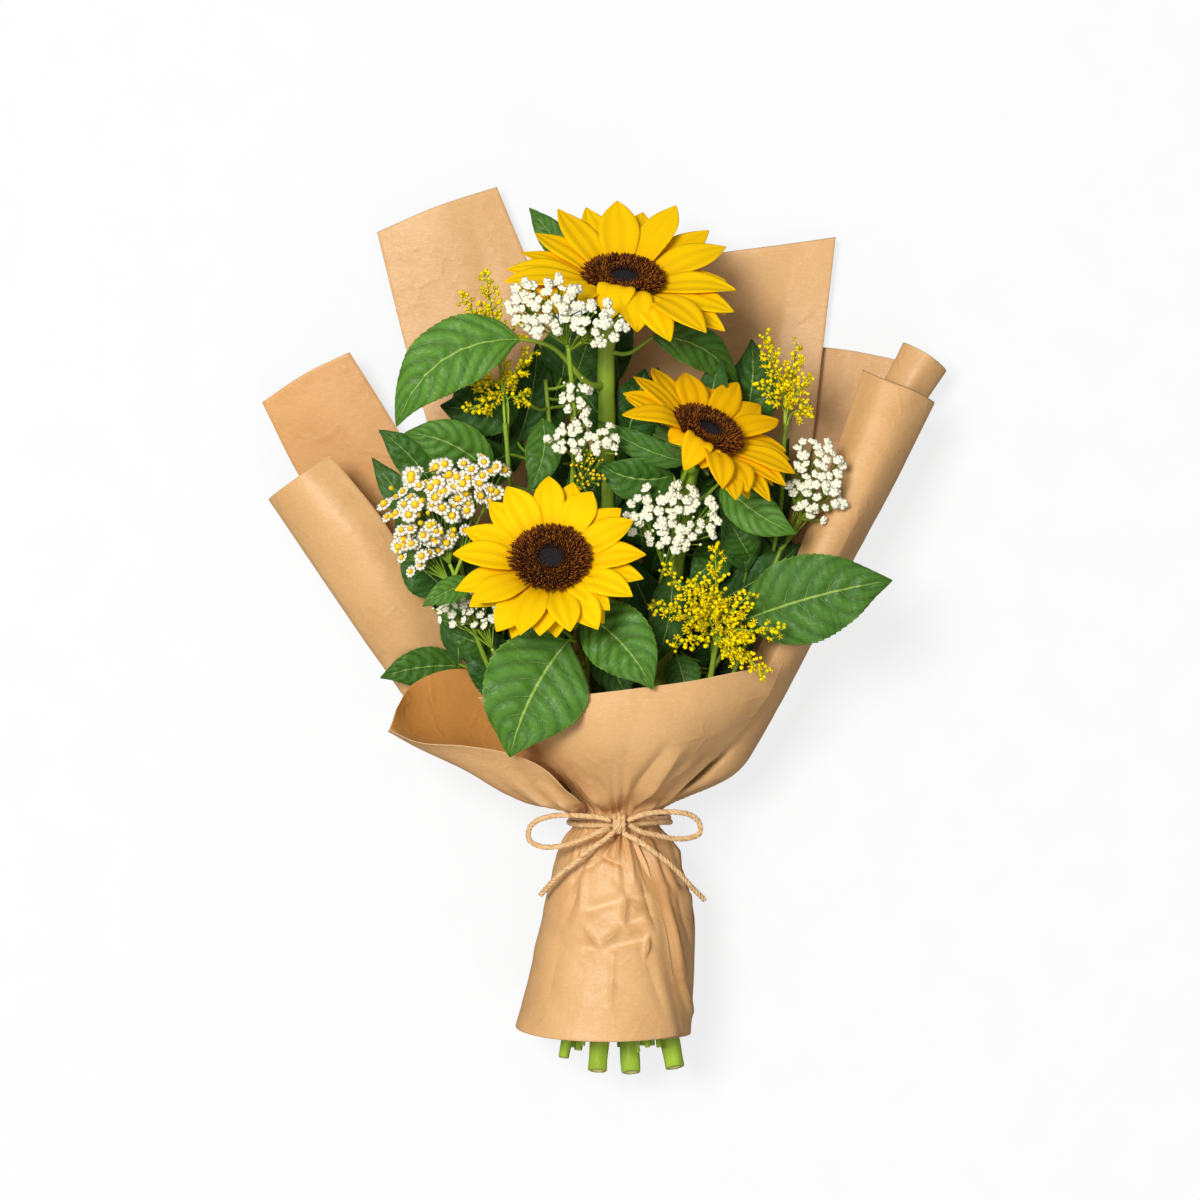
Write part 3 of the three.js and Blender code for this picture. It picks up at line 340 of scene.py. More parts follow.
def tone(red, green, blue):
    # A colour as a screen shows it, 0 to 255, as the shader wants it.
    return tuple(c / 12.92 if c <= 0.04045 else ((c + 0.055) / 1.055) ** 2.4
                 for c in (red / 255, green / 255, blue / 255)) + (1.0,)


class Wiring:
    # Short ways to place and join the nodes of one tree.
    def __init__(self, tree):
        self.tree = tree

    def node(self, kind, **settings):
        made = self.tree.nodes.new("ShaderNode" + kind)
        for key, value in settings.items():
            setattr(made, key, value)
        return made

    def feed(self, socket, value):
        if isinstance(value, bpy.types.NodeSocket):
            self.tree.links.new(value, socket)
        else:
            socket.default_value = value

    def share(self, name):
        return self.node("Attribute", attribute_name=name).outputs["Fac"]

    def place(self):
        return self.node("TexCoord").outputs["Object"]

    def math(self, operation, first, second=0.0):
        made = self.node("Math", operation=operation)
        self.feed(made.inputs[0], first)
        self.feed(made.inputs[1], second)
        return made.outputs[0]

    def join(self, x, y, z):
        made = self.node("CombineXYZ")
        for socket, value in zip(made.inputs, (x, y, z)):
            self.feed(socket, value)
        return made.outputs[0]

    def noise(self, where, scale, detail=2.0, roughness=0.5):
        made = self.node("TexNoise")
        self.feed(made.inputs["Vector"], where)
        self.feed(made.inputs["Scale"], scale)
        made.inputs["Detail"].default_value = detail
        made.inputs["Roughness"].default_value = roughness
        return made.outputs["Fac"]

    def cells(self, where, scale):
        made = self.node("TexVoronoi", feature="DISTANCE_TO_EDGE")
        self.feed(made.inputs["Vector"], where)
        made.inputs["Scale"].default_value = scale
        return made.outputs["Distance"]

    def ramp(self, value, low, high, start=0.0, end=1.0):
        made = self.node("MapRange", interpolation_type="SMOOTHSTEP")
        names = ("Value", "From Min", "From Max", "To Min", "To Max")
        for name, number in zip(names, (value, low, high, start, end)):
            self.feed(made.inputs[name], number)
        return made.outputs[0]

    def blend(self, share, first, second):
        made = self.node("Mix", data_type="RGBA")
        for k, value in zip((0, 6, 7), (share, first, second)):
            self.feed(made.inputs[k], value)
        return made.outputs[2]

    def bump(self, height, distance, strength=1.0, normal=None):
        made = self.node("Bump")
        made.inputs["Strength"].default_value = strength
        made.inputs["Distance"].default_value = distance
        self.feed(made.inputs["Height"], height)
        if normal is not None:
            self.feed(made.inputs["Normal"], normal)
        return made.outputs[0]

    def use(self, group, **values):
        made = self.node("Group", node_tree=group)
        for key, value in values.items():
            self.feed(made.inputs[key], value)
        return made.outputs


def newGroup(name, inputs, outputs):
    # An input with no number is a colour.
    tree = bpy.data.node_groups.new(name, "ShaderNodeTree")
    for key, value in inputs.items():
        kind = "NodeSocketColor" if value is None else "NodeSocketFloat"
        socket = tree.interface.new_socket(name=key, in_out="INPUT", socket_type=kind)
        if value is not None:
            socket.default_value = value
    for key, kind in outputs.items():
        tree.interface.new_socket(name=key, in_out="OUTPUT", socket_type="NodeSocket" + kind)
    start, end = tree.nodes.new("NodeGroupInput"), tree.nodes.new("NodeGroupOutput")
    return tree, Wiring(tree), start.outputs, end.inputs


def newMaterial(name, roughness=0.6, specular=0.4, sheen=0.0):
    material = bpy.data.materials.new(name)
    material.use_nodes = True
    shader = material.node_tree.nodes["Principled BSDF"].inputs
    shader["Roughness"].default_value = roughness
    shader["Specular IOR Level"].default_value = specular
    shader["Sheen Weight"].default_value = sheen
    return material, Wiring(material.node_tree), shader


def makeMottle():
    # Patches of a second colour, with a mask for the relief.
    tree, w, start, end = newGroup("mottle", dict(Scale=60.0, Depth=0.5, Base=None, Patch=None),
                                   dict(Color="Color", Mask="Float"))
    mask = w.ramp(w.noise(w.place(), start["Scale"], 4.0, 0.6), 0.32, 0.7)
    w.feed(end["Color"], w.blend(w.math("MULTIPLY", mask, start["Depth"]), start["Base"], start["Patch"]))
    w.feed(end["Mask"], mask)
    return tree


def makeStreaks():
    # Fine lines along a petal or a stalk.
    tree, w, start, end = newGroup("lengthStreaks", dict(Count=12.0, Wander=0.6), dict(Lines="Float"))
    beside = w.math("MULTIPLY", w.share("across"), start["Count"])
    onward = w.math("MULTIPLY", w.share("along"), start["Wander"])
    another = w.math("MULTIPLY", w.share("tint"), 37.0)  # moves the lines on, so that no two petals match
    w.feed(end["Lines"], w.noise(w.join(beside, onward, another), 1.0, 3.0, 0.6))
    return tree


# side veins: pairs on a leaf, how far they run up to the edge, how much they arch and by what part of a step
# those on one side stand behind those on the other; the leaves' own sunken veins follow them
veinRun = dict(pairs=7.0, reach=0.13, arch=0.15, stagger=0.4)


def makeVeins():
    # The midrib, the arching side veins and the fine net of a leaf, from its own shares.
    masks = {name: "Float" for name in ("Midrib", "Side", "Net", "Rim", "Panel")}
    tree, w, start, end = newGroup("leafVeins", dict(Pairs=7.0, Reach=0.22, Width=0.05), masks)
    along, across = w.share("along"), w.share("across")
    away = w.math("ABSOLUTE", across)
    w.feed(end["Midrib"], w.ramp(away, 0.01, w.math("ADD", start["Width"], 0.015), 1.0, 0.0))
    w.feed(end["Rim"], w.ramp(away, 0.955, 0.985))
    arch = w.math("MULTIPLY", w.math("MULTIPLY", away, away), veinRun["arch"])
    lift = w.math("ADD", w.math("MULTIPLY", start["Reach"], away), arch)
    row = w.math("MULTIPLY", w.math("SUBTRACT", along, lift), start["Pairs"])
    stagger = w.math("MULTIPLY", w.math("GREATER_THAN", across, 0.0), veinRun["stagger"])
    row = w.math("ADD", row, stagger)
    near = w.math("ABSOLUTE", w.math("SUBTRACT", w.math("FRACT", w.math("ADD", row, 0.5)), 0.5))
    thin = w.math("MULTIPLY", w.math("MULTIPLY", start["Width"], 1.9), w.ramp(away, 0.0, 1.0, 1.0, 0.35))
    w.feed(end["Side"], w.ramp(near, 0.0, thin, 1.0, 0.0))
    # Panel: 1 in the middle of each panel between the side veins, 0 at the veins; the leaf paints shade where
    # it is low
    w.feed(end["Panel"], w.math("MULTIPLY", w.ramp(near, 0.04, 0.4), w.ramp(away, 0.05, 0.3)))
    another = w.math("MULTIPLY", w.share("tint"), 19.0)
    where = w.join(w.math("MULTIPLY", row, 3.4), w.math("MULTIPLY", away, 8.0), another)
    w.feed(end["Net"], w.ramp(w.cells(where, 1.4), 0.0, 0.1, 1.0, 0.0))
    return tree


def makeFibres():
    # Short pale and dark threads lying every way, for paper and twine.
    tree, w, start, end = newGroup("fibres", dict(Scale=260.0), dict(Threads="Float", Specks="Float"))
    threads = None
    for turn in (0.3, 1.35, 2.5):
        mapped = w.node("Mapping")
        w.feed(mapped.inputs["Vector"], w.place())
        mapped.inputs["Rotation"].default_value = (0.4 * turn, 0.2, turn)
        mapped.inputs["Scale"].default_value = (0.16, 1.6, 1.0)
        one = w.ramp(w.noise(mapped.outputs[0], start["Scale"], 2.0, 0.5), 0.56, 0.74)
        threads = one if threads is None else w.math("MAXIMUM", threads, one)
    w.feed(end["Threads"], threads)
    fine = w.noise(w.place(), w.math("MULTIPLY", start["Scale"], 2.6), 2.0, 0.6)
    w.feed(end["Specks"], w.ramp(fine, 0.64, 0.76))
    return tree


mottle, streaks, leafVeins, fibres = makeMottle(), makeStreaks(), makeVeins(), makeFibres()


def makePaper():
    material, w, shader = newMaterial("kraftPaper", roughness=0.5, specular=0.5)
    base = w.use(mottle, Scale=38.0, Depth=0.4, Base=tone(218, 171, 114), Patch=tone(200, 149, 92))
    grain = w.use(fibres, Scale=1000.0)
    fine = w.noise(w.place(), 900.0, 3.0, 0.6)
    cloudy = w.blend(w.ramp(fine, 0.3, 0.7, 0.0, 0.3), base["Color"], tone(200, 146, 84))
    pale = w.blend(w.math("MULTIPLY", grain["Threads"], 0.3), cloudy, tone(236, 196, 142))
    # painted shade, deeper and more orange, where the sheet's warm share is set: inside the left flap and
    # over the left panel
    fibresAndPaintedShade = w.blend(w.math("MULTIPLY", w.share("warm"), 0.85), pale, tone(208, 132, 40))
    # painted shade in the hollows of the creases, by the fold share
    sunk = w.blend(w.ramp(w.share("fold"), 0.0, -1.0, 0.0, 0.5), fibresAndPaintedShade, tone(172, 116, 58))
    # painted highlight on the ridges of the creases
    paintedHighlight = w.blend(w.ramp(w.share("fold"), 0.1, 1.0, 0.0, 0.35), sunk, tone(244, 212, 164))
    # painted highlight along the rim of every sheet
    paintedHighlight = w.blend(w.ramp(w.share("rim"), 0.3, 0.9, 0.0, 0.75), paintedHighlight, tone(240, 208, 162))
    specked = w.blend(w.math("MULTIPLY", grain["Specks"], 0.35), paintedHighlight, tone(168, 116, 66))
    w.feed(shader["Base Color"], specked)
    soft = w.bump(w.noise(w.place(), 34.0, 4.0, 0.55), 0.0022, 0.6)
    rough = w.math("ADD", w.math("MULTIPLY", fine, 0.6), w.math("MULTIPLY", grain["Threads"], 0.25))
    edges = w.ramp(w.cells(w.place(), 48.0), 0.0, 0.12, 1.0, 0.0)
    soft = w.bump(w.math("MULTIPLY", edges, w.ramp(base["Mask"], 0.4, 0.9)), 0.0006, 0.35, soft)
    w.feed(shader["Normal"], w.bump(rough, 0.0001, 0.5, soft))
    w.feed(shader["Roughness"], w.ramp(fine, 0.3, 0.7, 0.44, 0.58))
    return material


def makeTwine():
    material, w, shader = newMaterial("juteTwine", roughness=0.9, specular=0.1, sheen=0.1)
    lines = w.use(streaks, Count=5.0, Wander=26.0)["Lines"]
    base = w.use(mottle, Scale=300.0, Depth=0.5, Base=tone(234, 196, 144), Patch=tone(214, 172, 118))
    fibresAndPaintedShade = w.blend(w.ramp(lines, 0.45, 0.72), base["Color"], tone(180, 134, 84))
    w.feed(shader["Base Color"], w.blend(w.ramp(lines, 0.42, 0.2, 0.0, 0.7), fibresAndPaintedShade, tone(250, 226, 182)))
    w.feed(shader["Normal"], w.bump(lines, 0.0004, 0.9))
    w.feed(shader["Roughness"], w.ramp(lines, 0.3, 0.7, 0.8, 0.96))
    return material


def makePetal():
    material, w, shader = newMaterial("rayPetal", roughness=0.6, specular=0.02)
    lines = w.use(streaks, Count=7.0, Wander=1.1)["Lines"]
    along, warm = w.share("along"), w.share("warm")
    body = w.blend(warm, tone(255, 212, 0), tone(255, 180, 0))
    deep = w.blend(warm, tone(250, 180, 0), tone(240, 144, 0))
    heart = w.ramp(w.math("ADD", along, w.math("MULTIPLY", lines, 0.3)), 0.3, 0.66, 0.8, 0.0)
    rooted = w.blend(heart, body, deep)
    lined = w.blend(w.ramp(lines, 0.5, 0.72, 0.0, 0.3), rooted, deep)
    under = w.blend(w.math("MULTIPLY", w.share("under"), 0.5), lined, tone(236, 186, 16))
    root = w.ramp(along, 0.04, 0.3, 0.6, 0.0)
    w.feed(shader["Base Color"], w.blend(root, under, tone(206, 150, 8)))
    w.feed(shader["Normal"], w.bump(lines, 0.0004, 0.7))
    w.feed(shader["Roughness"], w.ramp(lines, 0.3, 0.7, 0.42, 0.58))
    return material


def makeFloret():
    # The disc: dark blue-black buds in the middle, brown tubes round them, orange tips at the rim.
    material, w, shader = newMaterial("discFloret", roughness=0.7, specular=0.12)
    tip, reach, tint = w.share("tip"), w.share("reach"), w.share("tint")
    foot = w.blend(w.ramp(reach, 0.3, 0.5), tone(30, 29, 31), tone(52, 22, 6))
    brown = w.blend(tint, tone(110, 54, 10), tone(66, 28, 6))
    crown = w.blend(w.ramp(reach, 0.14, 0.44), tone(74, 75, 80), brown)
    golden = w.blend(w.ramp(reach, 0.5, 0.95), tone(186, 110, 26), tone(170, 90, 10))
    lit = w.math("MULTIPLY", w.ramp(reach, 0.36, 0.5), w.ramp(tint, 0.3, 0.8))
    crown = w.blend(lit, crown, golden)
    colour = w.blend(w.ramp(tip, 0.25, 0.95), foot, crown)
    deep, rust = (0.02, 0.012, 0.006, 1.0), (0.06, 0.03, 0.01, 1.0)
    patched = w.use(mottle, Scale=700.0, Depth=0.4, Base=deep, Patch=rust)
    w.feed(shader["Base Color"], w.blend(0.2, colour, patched["Color"]))
    w.feed(shader["Normal"], w.bump(patched["Mask"], 0.0002, 0.5))
    w.feed(shader["Roughness"], w.ramp(patched["Mask"], 0.0, 1.0, 0.6, 0.8))
    return material


def makeLeaf():
    material, w, shader = newMaterial("leafBlade", roughness=0.4, specular=0.3)
    veins = w.use(leafVeins, Pairs=veinRun["pairs"], Reach=veinRun["reach"], Width=0.022)
    tint, under = w.share("tint"), w.share("under")
    # a shaded and a lit copy of the leaf green: each leaf's tint picks between them, so leaves deep in the
    # bunch are painted with shade and the outer leaves painted lit
    shadedLeafGreen = w.use(mottle, Scale=110.0, Depth=0.5, Base=tone(38, 84, 16), Patch=tone(26, 64, 12))
    litLeafGreen = w.use(mottle, Scale=90.0, Depth=0.5, Base=tone(112, 164, 52), Patch=tone(88, 142, 36))
    blade = w.blend(tint, shadedLeafGreen["Color"], litLeafGreen["Color"])
    # painted shade in the furrows along the side veins, fading to none in the middle of each panel
    blade = w.blend(w.ramp(veins["Panel"], 0.0, 1.0, 0.34, 0.0), blade, tone(24, 62, 10))
    blade = w.blend(w.math("MULTIPLY", veins["Net"], 0.08), blade, tone(120, 170, 60))
    sides = w.blend(w.math("MULTIPLY", veins["Side"], 0.72), blade, tone(150, 190, 84))
    ribbed = w.blend(w.math("MULTIPLY", veins["Midrib"], 0.75), sides, tone(168, 198, 88))
    rimmed = w.blend(w.math("MULTIPLY", veins["Rim"], 0.45), ribbed, tone(156, 190, 84))
    w.feed(shader["Base Color"], w.blend(w.math("MULTIPLY", under, 0.5), rimmed, tone(134, 168, 90)))
    relief = w.math("ADD", w.math("MULTIPLY", veins["Side"], -0.6), w.math("MULTIPLY", veins["Net"], -0.1))
    w.feed(shader["Normal"], w.bump(relief, 0.0011, 0.9))
    w.feed(shader["Roughness"], w.ramp(litLeafGreen["Mask"], 0.0, 1.0, 0.4, 0.54))
    return material


def makeStem():
    material, w, shader = newMaterial("greenStem", roughness=0.42, specular=0.3)
    lines = w.use(streaks, Count=9.0, Wander=6.0)["Lines"]
    base = w.use(mottle, Scale=70.0, Depth=0.6, Base=tone(160, 188, 50), Patch=tone(124, 156, 28))
    lined = w.blend(w.ramp(lines, 0.4, 0.7, 0.0, 0.4), base["Color"], tone(170, 202, 80))
    cut = w.share("cut")
    deep = w.blend(w.math("MULTIPLY", w.share("shade"), 0.9), lined, tone(52, 84, 14))
    fresh = w.blend(w.ramp(cut, 0.35, 0.5), deep, tone(176, 180, 70))
    w.feed(shader["Base Color"], w.blend(w.ramp(cut, 0.8, 0.95), fresh, tone(240, 232, 150)))
    w.feed(shader["Normal"], w.bump(lines, 0.0003, 0.5))
    w.feed(shader["Roughness"], w.ramp(lines, 0.3, 0.7, 0.32, 0.48))
    return material


def makeWhite():
    material, w, shader = newMaterial("whiteFloret", roughness=0.6, specular=0.2)
    base = w.use(mottle, Scale=260.0, Depth=0.5, Base=tone(252, 250, 232), Patch=tone(240, 232, 184))
    mark, tip = w.share("mark"), w.share("tip")
    throat = w.blend(w.ramp(tip, 0.0, 0.25, 0.35, 0.0), base["Color"], tone(206, 202, 110))
    cream = w.blend(w.ramp(mark, 0.45, 0.55), throat, tone(250, 246, 214))
    yellow = w.blend(w.ramp(tip, 0.1, 0.8), tone(236, 172, 10), tone(252, 214, 36))
    w.feed(shader["Base Color"], w.blend(w.ramp(mark, 0.9, 0.98), cream, yellow))
    w.feed(shader["Normal"], w.bump(base["Mask"], 0.0002, 0.5))
    w.feed(shader["Roughness"], w.ramp(base["Mask"], 0.0, 1.0, 0.48, 0.62))
    return material


def makeGolden():
    material, w, shader = newMaterial("goldenBud", roughness=0.6, specular=0.06)
    tip, tint = w.share("tip"), w.share("tint")
    bright = w.use(mottle, Scale=200.0, Depth=0.5, Base=tone(255, 228, 8), Patch=tone(246, 212, 2))
    crown = w.blend(w.ramp(tint, 0.55, 1.0), bright["Color"], tone(206, 196, 20))
    w.feed(shader["Base Color"], w.blend(w.ramp(tip, 0.0, 0.3), tone(206, 190, 12), crown))
    w.feed(shader["Normal"], w.bump(bright["Mask"], 0.0002, 0.5))
    w.feed(shader["Roughness"], w.ramp(bright["Mask"], 0.0, 1.0, 0.52, 0.68))
    return material


paper, twine, petal, floret, leafBlade = makePaper(), makeTwine(), makePetal(), makeFloret(), makeLeaf()
greenStem, whiteFloret, goldenBud = makeStem(), makeWhite(), makeGolden()
print("materials ready")


# Twine: the bow first, then the band round the neck and the knot

cordage = dict(diameter=3.4, strands=3, strand=0.98, offset=0.82, pitch=9.2, step=0.8, sides=8, grain=12)
neck = dict(x=9, y=-118, z=50, wide=24.8, deep=23)  # the middle of the gathered neck and its half size
neckY = neck["y"] * mm
bow = {
    "twineLoopLeft": dict(
        node="twine_loop_left", farEnd="object",
        route=[
            (3, -116, 86), (-5, -114, 87), (-17, -113, 86), (-31, -113, 83), (-42, -116, 79),
            (-47, -121, 75), (-47, -128, 74), (-40, -132, 77), (-29, -132, 81), (-18, -129, 86),
            (-6, -124, 89), (2, -120, 90),
        ],
    ),
    "twineLoopRight": dict(
        node="twine_loop_right", farEnd="object",
        route=[
            (14, -116, 86), (21, -113, 87), (32, -111, 85), (44, -111, 82), (53, -113, 78), (58, -118, 74),
            (58, -124, 73), (51, -127, 75), (40, -127, 79), (31, -125, 84), (22, -123, 88), (15, -119, 90),
        ],
    ),
    "twineTailLeft": dict(
        node="twine_tail_left", farEnd="bare",
        route=[
            (5, -123, 87), (-2, -129, 89), (-11, -135, 90), (-19, -142, 88), (-27, -148, 83),
            (-34, -155, 76), (-40, -162, 69),
        ],
    ),
    "twineTailRight": dict(
        node="twine_tail_right", farEnd="bare",
        route=[
            (11, -124, 87), (19, -128, 89), (28, -134, 89), (36, -140, 87), (44, -147, 81), (52, -156, 73),
            (61, -165, 64),
        ],
    ),
}


def addTwine(heap, path, start=0.0):
    # Strands laid round each other.
    side, other = carried(path)
    run, sides = runAlong(path), cordage["sides"]
    for k in range(cordage["strands"]):
        turn = (start + run / (cordage["pitch"] * mm) + k / cordage["strands"])[:, None] * 2 * math.pi
        strand = path + cordage["offset"] * mm * (np.cos(turn) * side + np.sin(turn) * other)
        grain = cordage["grain"] * np.append(np.repeat(run, sides), [0, run[-1]])
        addTube(heap, strand, cordage["strand"] * mm, sides, along=grain, tint=0.2 + 0.3 * k)


def makeBow():
    for name, made in bow.items():
        path = even(spots(made["route"]), cordage["step"] * mm)
        heap = Heap()
        addTwine(heap, path)
        piece = settle(heap.build(name, [twine]), "twine", made["node"])


makeBow()

band = dict(out=6.4, drift=0.6, turns=(-1.7, 1.7), sway=0.6, count=260)


def makeBand():
    heap = Heap()
    for k, shift in enumerate(band["turns"]):
        turn = np.linspace(0, 2 * math.pi, band["count"])[:-1] + 0.5 * k
        out = band["out"] + band["drift"] * math.cos(2.4 * k)
        x = neck["x"] + (neck["wide"] + out) * np.sin(turn)
        y = neck["y"] + shift + band["sway"] * np.sin(turn * 2 + 2.1 * k)
        z = neck["z"] + (neck["deep"] + out) * np.cos(turn)
        path = np.stack([x, y, z], axis=1) * mm
        addTwine(heap, np.concatenate([path, path[:1]]), 0.31 * k)
    settle(heap.build("twineBand", [twine]), "twine", "twine_band")
    print("twine band ready")


knot = dict(
    place=(8.5, -118.5, 85.8), step=0.6,
    turns=[  # they hold the band and the bow, beside each other over the middle
        [
            (-2.6, 4.6, -3.6), (-2.5, 4.3, 0), (-2.3, 2.3, 2.4), (-2.3, -0.3, 3), (-2.4, -2.9, 2.2),
            (-2.5, -4.6, -0.4), (-2.5, -4.9, -3.6),
        ],
        [
            (0.3, 5.1, -3.6), (0.2, 4.8, 0.2), (0.1, 2.5, 3), (0, -0.3, 3.7), (0, -3.1, 2.9),
            (-0.1, -5.1, 0), (-0.2, -5.4, -3.4),
        ],
        [
            (2.8, 4.5, -3.6), (2.7, 4.2, 0), (2.4, 2.3, 2.4), (2.4, -0.3, 3), (2.4, -2.9, 2.2),
            (2.5, -4.6, -0.4), (2.6, -4.9, -3.6),
        ],
    ],
)


def makeKnot():
    heap = Heap()
    for k, turn in enumerate(knot["turns"]):
        path = (np.array(knot["place"]) + np.array(turn)) * mm
        addTwine(heap, even(path, knot["step"] * mm), 0.2 * k)
    settle(heap.build("twineKnot", [twine]), "twine", "twine_knot")
    print("knot ready")


makeBand()
makeKnot()


# Paper: sheets rolled round the bunch and gathered under the twine

ply = 1.45  # from one sheet to the next at the neck
paperThick = 0.45
wrap = [  # the inside of the wrap from the neck down to the hem
    dict(neck, y=-113),
    dict(neck, y=-123),
    dict(x=9, y=-131, z=49.5, wide=30, deep=27),
    dict(x=9.5, y=-146, z=48.5, wide=37, deep=33),
    dict(x=10, y=-178, z=47.5, wide=45, deep=40),
    dict(x=6.5, y=-212, z=47.5, wide=49, deep=44),
    dict(x=0.5, y=-253, z=48, wide=53, deep=46),
]


def arc(station, fromTurn, toTurn, layer, slant=0.0):
    # An arc round the wrap: 0 in front, 90 at the right, 180 underneath; slant draws its sides up.
    at = wrap[station]
    turn = np.radians(mix(fromTurn, toTurn, np.linspace(0, 1, 13)))
    x = at["x"] + (at["wide"] + ply * layer) * np.sin(turn)
    y = at["y"] + slant * (1 - np.cos(turn)) / 2
    z = at["z"] + (at["deep"] + ply * layer) * np.cos(turn)
    return np.stack([x, y, z], axis=1) * mm
